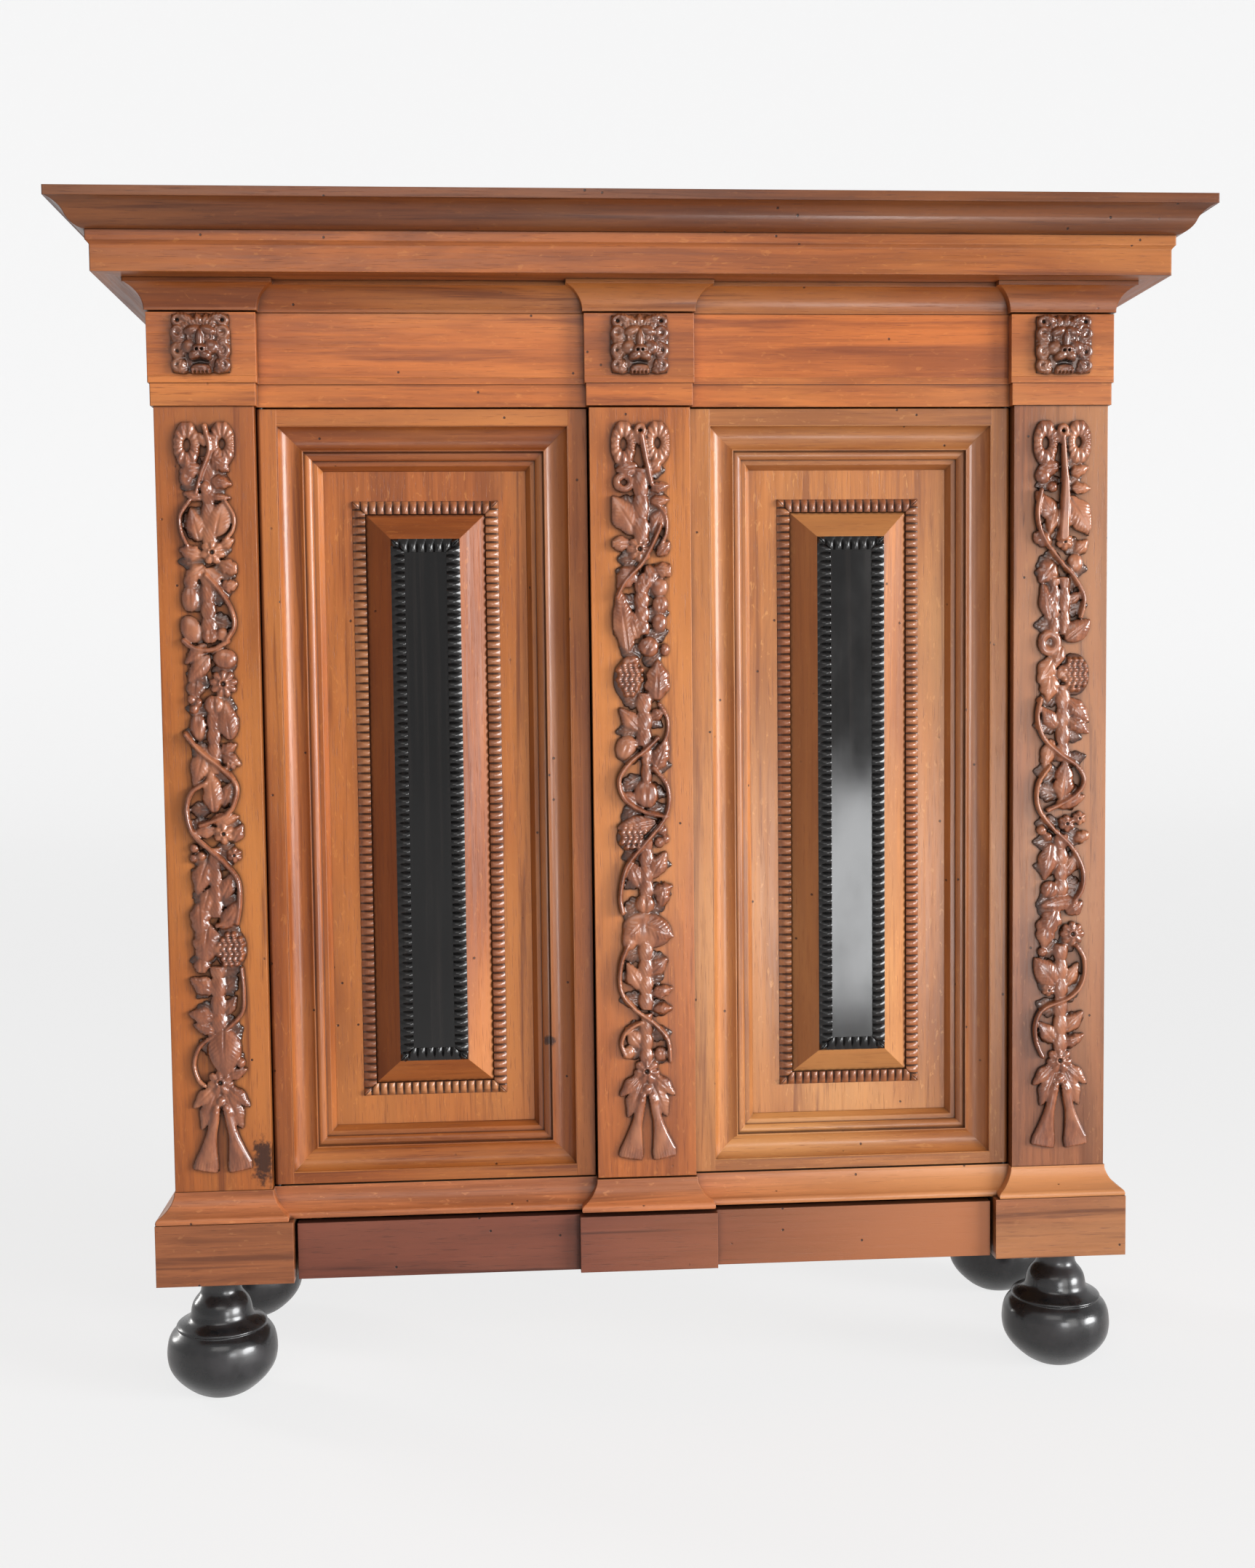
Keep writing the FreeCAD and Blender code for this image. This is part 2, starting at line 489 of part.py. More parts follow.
def make_entablature():
    """Architrave, frieze with its blocks, and the cornice in three layers."""
    architrave = [
        ("architrave_fillet_projection", HEAD),
        ("architrave_fillet_projection", f"{FRIEZE} - architrave_fillet_height"),
        ("architrave_projection", f"{FRIEZE} - architrave_fillet_height"),
        ("architrave_projection", FRIEZE),
    ]
    layer = broken_layer("architrave", architrave, "trim_wall", (HEAD, FRIEZE))
    recesses = pair("head_recess", *SOCKET, (f"{HEAD} - overrun", f"{HEAD} + pivot_socket_height"))
    recessed = cut("architrave_recessed", layer.Links[0], group("head_recesses", recesses))
    layer.Links = [recessed] + layer.Links[1:]
    sockets = []
    for level, z in (("foot", (f"{BASE_TOP} - pivot_socket_height", BASE_TOP)),
                     ("head", (HEAD, f"{HEAD} + pivot_socket_height"))):
        for side, block in zip(PIVOT_X, reversed(pair(f"{level}_socket_block", *SOCKET, z))):
            bore = cylinder(f"{level}_socket_bore_{side}", "pivot_radius + pivot_clearance", PIVOT_X[side],
                            PIVOT_Y, (f"{z[0]} - overrun", f"{z[1]} + overrun"))
            sockets.append(cut(f"{level}_socket_{side}", block, bore))
    node(group("socket_set", sockets), "pivot_sockets")
    outer = f"{HALF} + architrave_projection"
    board_y = (f"{TRIM} - architrave_projection", f"{TRIM} + trim_wall")
    boards = [box("frieze_front", (f"-({outer})", outer), board_y, (FRIEZE, BED))]
    boards += pair("frieze_side", (f"{HALF} - trim_wall", outer), (board_y[1], BACK), (FRIEZE, BED))
    node(group("frieze_set", boards), "frieze_boards")
    half = "centre_pilaster_width / 2 + architrave_projection"
    block_y = (f"{FACE} - architrave_projection", board_y[0])
    block_z = (FRIEZE, f"{BED} - frieze_line")
    blocks = [box("frieze_block_centre", (f"-({half})", half), block_y, block_z)]
    blocks += pair("frieze_block", (f"{POST_IN} - architrave_projection", outer), block_y, block_z)
    node(group("frieze_block_set", blocks), "frieze_blocks")
    bed = [
        ("bed_foot_projection", BED),
        ("bed_foot_projection", f"{BED} + bed_foot_height", "bed_hollow_share", -1),
        ("bed_projection - bed_top_inset", f"{CORONA} - bed_fillet_height"),
        ("bed_projection", f"{CORONA} - bed_fillet_height"), ("bed_projection", CORONA),
    ]
    broken_layer("bed_moulding", bed, "trim_wall", (BED, CORONA))
    corona = [
        ("corona_projection", CORONA),
        ("corona_projection", f"{CROWN} - corona_fillet_height - corona_lip", "corona_hollow_share", -1),
        ("corona_fillet_projection", f"{CROWN} - corona_fillet_height"),
        ("corona_fillet_projection", CROWN),
    ]
    crown = [
        ("corona_fillet_projection + crown_step", CROWN, "crown_round_share", 1),
        ("crown_waist_projection", f"{CROWN} + crown_waist_height", "crown_hollow_share", -1),
        ("cornice_projection - crown_step", f"{TOP} - crown_fillet_height"),
        ("cornice_projection", f"{TOP} - crown_fillet_height"), ("cornice_projection", TOP),
    ]
    layers = (("corona", corona, (CORONA, CROWN)), ("crown_moulding", crown, (CROWN, TOP)))
    for label, profile, level in layers:
        whole = stack(label, profile, (f"-({HALF})", HALF), FACE, BACK)
        hollow = box(label + "_hollow", (f"-({HALF} - cornice_wall)", f"{HALF} - cornice_wall"),
                     (f"{FACE} + cornice_wall", f"{BACK} + overrun"),
                     (f"{level[0]} - overrun", f"{level[1]} + overrun"))
        mitred(label, cut(label + "_ring", whole, hollow), level)
    inner = f"{HALF} - trim_wall"
    node(box("top_board", (f"-({inner})", inner), (f"{TRIM} + trim_wall", BACK),
             (f"{BED}", f"{BED} + top_board_thickness")), "top_boards")
    rail_x = (f"-({inner})", inner)
    node(box("cornice_rail", rail_x, (f"{BACK} - cornice_rail_thickness", BACK),
             (f"{BED} + top_board_thickness", f"{TOP} - cornice_rail_drop")), "cornice_back_rail")


def facet(points, height, share, seat):
    """A low carved form: an outline on the seat plane that narrows evenly towards its raised face."""
    base = [FreeCAD.Vector(x, 0, z) for x, z in points]
    spans = [max(p[i] for p in points) - min(p[i] for p in points) for i in (0, 1)]
    middle = FreeCAD.Vector(sum(p[0] for p in points), 0, sum(p[1] for p in points)) / len(points)
    inset = (1 - share) * min(spans)
    raised = [FreeCAD.Vector(middle.x + (p.x - middle.x) * (1 - inset / spans[0]), -height,
                             middle.z + (p.z - middle.z) * (1 - inset / spans[1])) for p in base]
    solid = skin([base, raised])
    solid.translate(FreeCAD.Vector(0, seat, 0))
    return solid


# How near two planes lie that count as one
TOUCH = 0.01
# How far each carved form narrows towards its raised face
GROUND_SHARE, BOSS_SHARE, SKULL_SHARE, MUZZLE_SHARE = 0.8, 0.6, 0.62, 0.55
# Half width and half height of the skull, as shares of the mask's width and height
SKULL_SHARES = (0.40, 0.46)
# Half width of a drop at the tips of its leaves and between them, as shares of its width
TIP_SHARE, WAIST_SHARE = 0.5, 0.33
FESTOON_LEAVES = 8


def carving(name, solids, label):
    piece = doc.addObject("Part::Feature", name)
    piece.Shape = solids[0].fuse(solids[1:]).removeSplitter()
    return node(piece, label) if label else piece


def make_masks():
    """Main forms of the three carved beast heads: back plate, skull and muzzle."""
    masks = []
    z = val(f"{FRIEZE} + (frieze_height - frieze_line) / 2")
    seat = val(f"{FACE} - architrave_projection")
    width, height, depth = val("mask_width"), val("mask_height"), val("mask_depth")
    pilaster_middle = f"{HALF} - pilaster_width / 2"
    for number, place in enumerate((f"-({pilaster_middle})", "0", pilaster_middle)):
        x = val(place)
        plate = [(x + u * width / 2, z + v * height / 2) for u, v in ((-1, -1), (1, -1), (1, 1), (-1, 1))]
        skull = rosette(x, z, width * SKULL_SHARES[0], 8, SKULL_SHARES[1] / SKULL_SHARES[0])
        muzzle = rosette(x, z - val("muzzle_drop"), val("muzzle_radius"), 6)
        solids = [facet(plate, val("mask_back"), 1 - val("mask_back") / width, seat),
                  facet(skull, depth, SKULL_SHARE, seat - val("mask_back")),
                  facet(muzzle, val("muzzle_rise"), MUZZLE_SHARE, seat - val("mask_back") - depth)]
        masks.append(carving(f"mask_{number}", solids, None))
    node(group("mask_set", masks), "frieze_masks")


def make_festoons():
    """Main forms of the carved drops: a leafy ground with two tassels, bosses and a bow on top."""
    pilaster_middle = f"{HALF} - pilaster_width / 2"
    seat = val(FACE)
    ground, width = val("festoon_ground"), val("festoon_width")
    raised = val("festoon_relief") - ground
    low, high = val(f"{BASE_TOP} + festoon_foot_rise"), val(f"{HEAD} - festoon_top_drop")
    tassel, loop = val("festoon_tassel_length"), val("festoon_loop_radius")
    knot = low + tassel
    step = (high - knot) / (2 * FESTOON_LEAVES)
    shares = [WAIST_SHARE if i % 2 == 0 else TIP_SHARE for i in range(2 * FESTOON_LEAVES)] + [TIP_SHARE]
    for side, place in (("left", f"-({pilaster_middle})"), ("centre", "0"), ("right", pilaster_middle)):
        x = val(place)
        right_edge = [(x, knot - tassel / 2), (x + val("festoon_tassel_gap"), low), (x + width / 2, low)]
        right_edge += [(x + share * width, knot + i * step) for i, share in enumerate(shares)]
        left_edge = [(2 * x - u, v) for u, v in right_edge[:0:-1]]
        solids = [facet(right_edge + left_edge, ground, GROUND_SHARE, seat)]
        for sign in (-1, 1):
            bow = rosette(x + sign * loop, high - loop - step / 2, loop, 6)
            solids.append(facet(bow, raised, BOSS_SHARE, seat - ground))
        for i in range(0, FESTOON_LEAVES - 1, 2):
            boss = rosette(x, knot + (2 * i + 1) * step, val("festoon_boss_radius"), 6)
            solids.append(facet(boss, raised, BOSS_SHARE, seat - ground))
        carving(f"festoon_{side}_carving", solids, f"festoon_{side}")


DOOR_Z = (f"{BASE_TOP} + door_foot_gap", f"{HEAD} - door_head_gap")
OPENING_Z = (f"{BASE_TOP} + opening_bottom", f"{HEAD} - opening_top_drop")
CENTRE_Z = f"({OPENING_Z[0]} + {OPENING_Z[1]}) / 2"
CENTRE_X = f"(({OPEN_OUT}) + ({OPEN_IN})) / 2"
OPEN_HALF_X = f"(({OPEN_OUT}) - ({OPEN_IN})) / 2"
OPEN_HALF_Z = f"(({OPENING_Z[1]}) - ({OPENING_Z[0]})) / 2"
FIELD_Y = f"{TRIM} + field_depth"
DOOR_BACK = f"{TRIM} + door_thickness"


def door_moulding(side, sign):
    """Cove, quirk, ovolo and fillet, mitred round the opening of a door."""
    profile = [
        ("0", "field_depth"), ("0", "0"), ("quirk_width", "0"),
        ("quirk_width", "cove_edge_depth", "cove_share", 1),
        ("cove_width", "cove_rise_depth"), ("cove_width + quirk_width", "cove_rise_depth"),
        ("cove_width + quirk_width", "quirk_depth", "ovolo_share", -1),
        ("cove_width + quirk_width + ovolo_width", "ovolo_depth"),
        ("cove_width + quirk_width + ovolo_width", "ovolo_depth + band_step"),
        ("cove_width + quirk_width + ovolo_width + band_width", "ovolo_depth + band_step"),
        ("door_moulding_width", "field_depth"),
    ]
    lengths = []
    runs = [("side", OPEN_HALF_X, OPEN_HALF_Z), ("rail", OPEN_HALF_Z, OPEN_HALF_X)]
    for run, across, along in runs:
        for end, direction in (("low", -1), ("high", 1)):
            lengths.append(mitred_length(f"door_{side}_{run}_{end}", profile, across, along,
                                         direction, run, sign))
    return lengths


def mitred_length(name, profile, across, along, direction, run, sign):
    """One straight length of the door moulding, cut at 45 degrees at both ends."""
    middle_x = f"{sign}({CENTRE_X})"
    inward = "+" if direction < 0 else "-"
    centre = middle_x if run == "side" else CENTRE_Z
    # Heights of the mitre plan, measured from the middle of the door's opening
    edge = f"{centre} {'-' if direction < 0 else '+'} {across}"
    plan = [(f"{edge}", f"-({along})"), (f"{edge}", f"{along}"),
            (f"{edge} {inward} door_moulding_width", f"{along} - door_moulding_width"),
            (f"{edge} {inward} door_moulding_width", f"-({along} - door_moulding_width)")]
    if run == "side":
        section = [(f"{edge} {inward} ({p[0]})", f"{TRIM} + ({p[1]})")
                   + ((p[2], p[3] * direction) if len(p) > 2 else ()) for p in profile]
        span = (f"{CENTRE_Z} - ({along})", f"{CENTRE_Z} + {along}")
        run_solid = prism(name + "_run", outline(name + "_section", TURN_XY, section), "z", span)
        corners = [(u, f"{CENTRE_Z} + ({v})") for u, v in plan]
    else:
        section = [(f"{TRIM} + ({p[1]})", f"{edge} {inward} ({p[0]})")
                   + ((p[2], -p[3] * direction) if len(p) > 2 else ()) for p in profile]
        span = (f"{middle_x} - ({along})", f"{middle_x} + {along}")
        run_solid = prism(name + "_run", outline(name + "_section", TURN_YZ, section), "x", span)
        corners = [(f"{middle_x} + ({v})", u) for u, v in plan]
    wedge = prism(name + "_mitre", outline(name + "_plan", TURN_XZ, corners), "y",
                  (f"{TRIM} - overrun", f"{FIELD_Y} + overrun"))
    return common(name, [run_solid, wedge])


def ripple_frame(name, label, half_x, half_z, width, base, rise, middle_x, seat):
    """A flat frame whose face is cut into even ripples square to its length."""
    pitch = val("ripple_pitch")
    strips = []
    for along, across, upright in ((val(half_z), val(half_x), True), (val(half_x), val(half_z), False)):
        count = round(2 * along / pitch)
        step = 2 * along / count
        points = [FreeCAD.Vector(-along, 0, 0)]
        for i in range(count):
            points.append(FreeCAD.Vector(-along + i * step, -base, 0))
            points.append(FreeCAD.Vector(-along + (i + 0.5) * step, -base - rise, 0))
        points += [FreeCAD.Vector(along, -base, 0), FreeCAD.Vector(along, 0, 0)]
        face = Part.Face(Part.makePolygon(points + [points[0]]))
        for direction in (-1, 1):
            strip = face.extrude(FreeCAD.Vector(0, 0, width))
            strip.translate(FreeCAD.Vector(0, 0, -width))
            plan = [FreeCAD.Vector(*p) for p in ((-along, 0, 0), (along, 0, 0), (along - width, 0, -width),
                                               (-along + width, 0, -width))]
            wedge = Part.Face(Part.makePolygon(plan + [plan[0]])).extrude(FreeCAD.Vector(0, -base - rise, 0))
            strip = strip.common(wedge)
            strip.translate(FreeCAD.Vector(0, 0, across))
            if direction < 0:
                strip.rotate(FreeCAD.Vector(), FreeCAD.Vector(0, 1, 0), 180)
            if upright:
                strip.rotate(FreeCAD.Vector(), FreeCAD.Vector(0, 1, 0), 90)
            strips += strip.Solids
    piece = doc.addObject("Part::Feature", name)
    piece.Shape = Part.makeCompound(strips)
    middle = FreeCAD.Vector(val(middle_x), val(seat), val(CENTRE_Z))
    piece.Placement = FreeCAD.Placement(middle, FreeCAD.Rotation())
    node(piece, label)


def make_door(side):
    """A framed door with a deep moulding, a flat field and a raised cushion in the middle."""
    sign = "-" if side == "left" else ""
    turn = flip if side == "left" else (lambda s: s)
    inner = f"{MEETING} + door_meeting_gap" if side == "left" else f"-{MEETING}"
    outer = f"{POST_IN} - door_gap"
    frame_y = (TRIM, DOOR_BACK)
    outer_stile = box(f"door_{side}_outer_stile", turn((OPEN_OUT, outer)), frame_y, DOOR_Z)
    rounded = doc.addObject("Part::Fillet", f"door_{side}_rounded_stile")
    doc.recompute()
    edge_x = val(f"{sign}({outer})")
    for number, edge in enumerate(outer_stile.Shape.Edges, 1):
        if all(abs(v.X - edge_x) < TOUCH and abs(v.Y - val(TRIM)) < TOUCH for v in edge.Vertexes):
            rounded.Base = outer_stile
            rounded.Edges = [(number, val("door_edge_radius"), val("door_edge_radius"))]
    foot_z = (f"{DOOR_Z[0]} - door_foot_gap - pivot_length", DOOR_Z[0])
    head_z = (DOOR_Z[1], f"{DOOR_Z[1]} + door_head_gap + pivot_length")
    pivots = [cylinder(f"door_{side}_foot_pivot", "pivot_radius", PIVOT_X[side], PIVOT_Y, foot_z),
              cylinder(f"door_{side}_head_pivot", "pivot_radius", PIVOT_X[side], PIVOT_Y, head_z)]
    members = [rounded, box(f"door_{side}_inner_stile", turn((inner, OPEN_IN)), frame_y, DOOR_Z)]
    rail_x = turn((OPEN_IN, OPEN_OUT))
    members.append(box(f"door_{side}_bottom_rail", rail_x, frame_y, (DOOR_Z[0], OPENING_Z[0])))
    members.append(box(f"door_{side}_top_rail", rail_x, frame_y, (OPENING_Z[1], DOOR_Z[1])))
    node(group(f"door_{side}_members", members), f"door_{side}_frame")
    node(group(f"door_{side}_lengths", door_moulding(side, sign)), f"door_{side}_moulding")
    node(box(f"door_{side}_field_board", rail_x, (FIELD_Y, DOOR_BACK), OPENING_Z), f"door_{side}_field")
    node(group(f"door_{side}_pivot_pair", pivots), f"door_{side}_pivots")
    middle_x = f"{sign}({CENTRE_X})"
    half_x = f"(({OPEN_HALF_X} - door_moulding_width) * cushion_width_share)"
    slope = f"{half_x} * cushion_slope_share"
    half_z = f"({OPEN_HALF_Z} - door_moulding_width - cushion_end_margin)"
    block = doc.addObject("Part::Wedge", f"door_{side}_block")
    for prop, size in (("Xmin", "0"), ("Xmax", f"2 * {half_x}"), ("Ymin", "0"), ("Ymax", "cushion_height"),
                       ("Zmin", "0"), ("Zmax", f"2 * {half_z}"), ("X2min", slope),
                       ("X2max", f"2 * {half_x} - {slope}"), ("Z2min", slope),
                       ("Z2max", f"2 * {half_z} - {slope}")):
        block.setExpression(prop, full(size))
    block.Placement = FreeCAD.Placement(FreeCAD.Vector(), FreeCAD.Rotation(FreeCAD.Vector(1, 0, 0), 180))
    for axis, place in (("x", f"{middle_x} - {half_x}"), ("y", FIELD_Y), ("z", f"{CENTRE_Z} + {half_z}")):
        block.setExpression(f"Placement.Base.{axis}", full(place))
    node(block, f"door_{side}_cushion")
    top_y = f"{FIELD_Y} - cushion_height"
    ripple_frame(f"door_{side}_oak_ripples", f"door_{side}_oak_ripple", f"{half_x} + ripple_width",
                 f"{half_z} + ripple_width", val("ripple_width"), val("ripple_base"),
                 val("ripple_rise"), middle_x, FIELD_Y)
    top_x, top_z = f"({half_x} - {slope})", f"({half_z} - {slope})"
    ripple_frame(f"door_{side}_ebony_ripples", f"door_{side}_ebony_ripple", top_x, top_z,
                 val("ebony_ripple_width"), val("ebony_ripple_base"), val("ebony_ripple_rise"),
                 middle_x, top_y)
    panel_x, panel_z = f"({top_x} - ebony_ripple_width)", f"({top_z} - ebony_ripple_width)"
    node(box(f"door_{side}_ebony", (f"{middle_x} - {panel_x}", f"{middle_x} + {panel_x}"),
             (f"{top_y} - ebony_panel_thickness", top_y),
             (f"{CENTRE_Z} - {panel_z}", f"{CENTRE_Z} + {panel_z}")), f"door_{side}_ebony_panel")


def make_lock():
    """Box lock on the right door, its bolt and keeper, and a sliding bolt on the left door."""
    middle = f"{BASE_TOP} + lock_height"
    edge = f"-{MEETING} + lock_edge_inset"
    case_x = (edge, f"{edge} + lock_width")
    case_y = (DOOR_BACK, f"{DOOR_BACK} + lock_depth")
    case_z = (f"{middle} - lock_tall / 2", f"{middle} + lock_tall / 2")
    case = box("lock_body", case_x, case_y, case_z)
    bolt_y = (f"{DOOR_BACK} + lock_wall + bolt_clearance",
              f"{DOOR_BACK} + lock_wall + bolt_clearance + bolt_thickness")
    bolt_z = (f"{middle} - bolt_height / 2", f"{middle} + bolt_height / 2")
    channel = box("lock_channel", (f"{edge} - overrun", f"{edge} + bolt_length + bolt_clearance"),
                  (f"{bolt_y[0]} - bolt_clearance", f"{bolt_y[1]} + bolt_clearance"),
                  (f"{bolt_z[0]} - bolt_clearance", f"{bolt_z[1]} + bolt_clearance"))
    node(cut("lock_hollow", case, channel), "lock_case")
    bar_x = (f"{edge} - bolt_clearance", f"{edge} - bolt_clearance + bolt_length")
    node(box("lock_bar", bar_x, bolt_y, bolt_z), "lock_bolt")
    left_edge = f"-({MEETING} + door_meeting_gap)"
    keeper_x = (f"{left_edge} - keeper_inset - keeper_length", f"{left_edge} - keeper_inset")
    keeper_z = (f"{bolt_z[0]} - bolt_clearance - keeper_wall", f"{bolt_z[1]} + bolt_clearance + keeper_wall")
    keeper = box("keeper_body", keeper_x, (DOOR_BACK, f"{DOOR_BACK} + keeper_depth"), keeper_z)
    mouth = box("keeper_mouth", (f"{keeper_x[0]} + keeper_wall", f"{keeper_x[1]} + overrun"),
                (f"{bolt_y[0]} - bolt_clearance", f"{bolt_y[1]} + bolt_clearance"),
                (f"{bolt_z[0]} - bolt_clearance", f"{bolt_z[1]} + bolt_clearance"))
    node(cut("keeper_cut", keeper, mouth), "lock_keeper")
    bolt_x = (f"{left_edge} - slide_bolt_inset - slide_bolt_width", f"{left_edge} - slide_bolt_inset")
    rod_y = (f"{DOOR_BACK} + slide_bolt_offset", f"{DOOR_BACK} + slide_bolt_offset + slide_bolt_thickness")
    rod_top = f"{DOOR_Z[1]} - slide_bolt_drop"
    rod = box("slide_rod", bolt_x, rod_y, (f"{rod_top} - slide_bolt_length", rod_top))
    knob = doc.addObject("Part::Cylinder", "slide_knob")
    knob.setExpression("Radius", full("slide_bolt_knob_radius"))
    knob.setExpression("Height", full("slide_bolt_knob_length"))
    knob.Placement = FreeCAD.Placement(FreeCAD.Vector(), FreeCAD.Rotation(FreeCAD.Vector(1, 0, 0), -90))
    for axis, place in (("x", f"({bolt_x[0]} + {bolt_x[1]}) / 2"), ("y", rod_y[1]),
                        ("z", f"{rod_top} - slide_bolt_knob_drop")):
        knob.setExpression(f"Placement.Base.{axis}", full(place))
    node(fuse("slide_bolt_whole", [rod, knob]), "slide_bolt")
    staples = []
    for name, level in (("upper", f"{rod_top} - staple_drop"),
                        ("lower", f"{rod_top} - staple_drop - staple_spacing")):
        strap = box(f"staple_{name}", (f"{bolt_x[0]} - bolt_clearance - staple_wall",
                                       f"{bolt_x[1]} + bolt_clearance + staple_wall"),
                    (DOOR_BACK, f"{rod_y[1]} + bolt_clearance + staple_wall"),
                    (f"{level} - staple_height", level))
        way = box(f"staple_way_{name}", (f"{bolt_x[0]} - bolt_clearance", f"{bolt_x[1]} + bolt_clearance"),
                  (f"{rod_y[0]} - bolt_clearance", f"{rod_y[1]} + bolt_clearance"),
                  (f"{level} - staple_height - overrun", f"{level} + overrun"))
        staples.append(cut(f"staple_{name}_cut", strap, way))
    node(group("staple_set", staples), "bolt_staples")
    centre = f"({bolt_x[0]} + {bolt_x[1]}) / 2"
    cleat = box("cleat_body", (f"{centre} - bolt_cleat_width / 2", f"{centre} + bolt_cleat_width / 2"),
                (f"{TRIM} + trim_wall", f"{rod_y[1]} + bolt_clearance + keeper_wall"),
                (HEAD, f"{HEAD} + bolt_cleat_height"))
    slot = box("cleat_slot", (f"{bolt_x[0]} - bolt_clearance", f"{bolt_x[1]} + bolt_clearance"),
               (f"{rod_y[0]} - bolt_clearance", f"{rod_y[1]} + bolt_clearance"),
               (f"{HEAD} - overrun", f"{HEAD} + bolt_cleat_height + overrun"))
    node(cut("cleat_cut", cleat, slot), "bolt_cleat")


def make_drawer():
    """One long drawer with a block planted on the middle of its front."""
    half = f"{DRAWER_HALF} - drawer_side_gap"
    block_half = f"{MEETING} + drawer_block_overhang"
    front_face = f"{FACE} - plinth_projection + drawer_setback"
    front_back = f"{front_face} + drawer_front_thickness"
    z = ("foot_height + drawer_bottom_gap", f"{PLINTH_TOP} - drawer_top_gap")
    node(box("drawer_front_board", (f"-({half})", half), (front_face, front_back), z), "drawer_front")
    node(box("drawer_block_board", (f"-({block_half})", block_half),
             (f"{front_face} - drawer_setback", front_face), z), "drawer_block")
    side_out = f"{DRAWER_HALF} - drawer_side_clearance"
    side_in = f"{side_out} - drawer_side_thickness"
    end = f"{BACK} - plinth_board - drawer_end_gap"
    side_z = ("foot_height + drawer_side_lift", f"{z[1]} - drawer_side_drop")
    walls = pair("drawer_side", (side_in, side_out), (front_back, end), side_z)
    floor_z = (side_z[0], f"{side_z[0]} + drawer_bottom_thickness")
    walls.append(box("drawer_back", (f"-({side_in})", side_in), (f"{end} - drawer_side_thickness", end),
                     side_z))
    node(group("drawer_walls", walls), "drawer_box")
    floor_y = (front_back, f"{end} - drawer_side_thickness")
    node(box("drawer_base", (f"-({side_in})", side_in), floor_y, floor_z), "drawer_bottom")


make_feet()
make_plinth()
make_base_moulding()
make_carcass()
make_pilasters()
make_entablature()
make_masks()
make_festoons()
make_door("left")
make_door("right")
make_lock()
make_drawer()
doc.recompute()

for item in doc.Objects:
    if "Invalid" in item.State or "Error" in item.State:
        raise RuntimeError(f"{item.Label} failed: {item.State}")
for piece in nodes:
    if piece.Shape.isNull() or not piece.Shape.isValid():
        raise RuntimeError(f"{piece.Label} has no valid shape")
os.makedirs("parts", exist_ok=True)
for piece in nodes:
    piece.Shape.exportStep(os.path.join("parts", piece.Label + ".step"))
print(len(nodes), "sub-parts written")
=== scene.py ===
"""Looks for the oak cupboard: waxed oak, ebony, black feet and the carved drops and beast heads."""

import math
import random

import bpy
import numpy as np
from mathutils import Matrix, Vector


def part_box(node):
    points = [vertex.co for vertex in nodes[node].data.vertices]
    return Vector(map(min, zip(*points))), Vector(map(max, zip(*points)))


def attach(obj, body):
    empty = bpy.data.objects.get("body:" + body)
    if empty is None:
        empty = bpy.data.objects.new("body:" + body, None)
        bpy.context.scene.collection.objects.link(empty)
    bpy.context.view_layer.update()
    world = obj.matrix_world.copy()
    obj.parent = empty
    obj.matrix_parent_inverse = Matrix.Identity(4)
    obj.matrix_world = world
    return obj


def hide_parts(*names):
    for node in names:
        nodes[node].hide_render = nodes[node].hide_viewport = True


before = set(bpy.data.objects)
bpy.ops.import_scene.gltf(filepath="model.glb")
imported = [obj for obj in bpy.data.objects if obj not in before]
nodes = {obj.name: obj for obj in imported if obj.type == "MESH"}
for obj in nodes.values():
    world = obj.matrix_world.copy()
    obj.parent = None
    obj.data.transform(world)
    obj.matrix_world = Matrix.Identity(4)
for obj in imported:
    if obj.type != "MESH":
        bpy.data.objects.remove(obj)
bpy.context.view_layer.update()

MM = 0.001
RIPPLE_PITCH = 0.0155

# Places read from the frame, in metres
FACE_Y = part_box("pilaster_left")[0].y
CARCASS_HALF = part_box("pilaster_right")[1].x
FRIEZE_FACE_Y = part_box("frieze_blocks")[0].y


def span_middle(node, axis):
    low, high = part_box(node)
    return (low[axis] + high[axis]) / 2


def span_half(node, axis):
    low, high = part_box(node)
    return (high[axis] - low[axis]) / 2


def frame_facts(node):
    """The middle in x and z and the half width and half height of a rectangular frame."""
    return span_middle(node, 0), span_middle(node, 2), span_half(node, 0), span_half(node, 2)


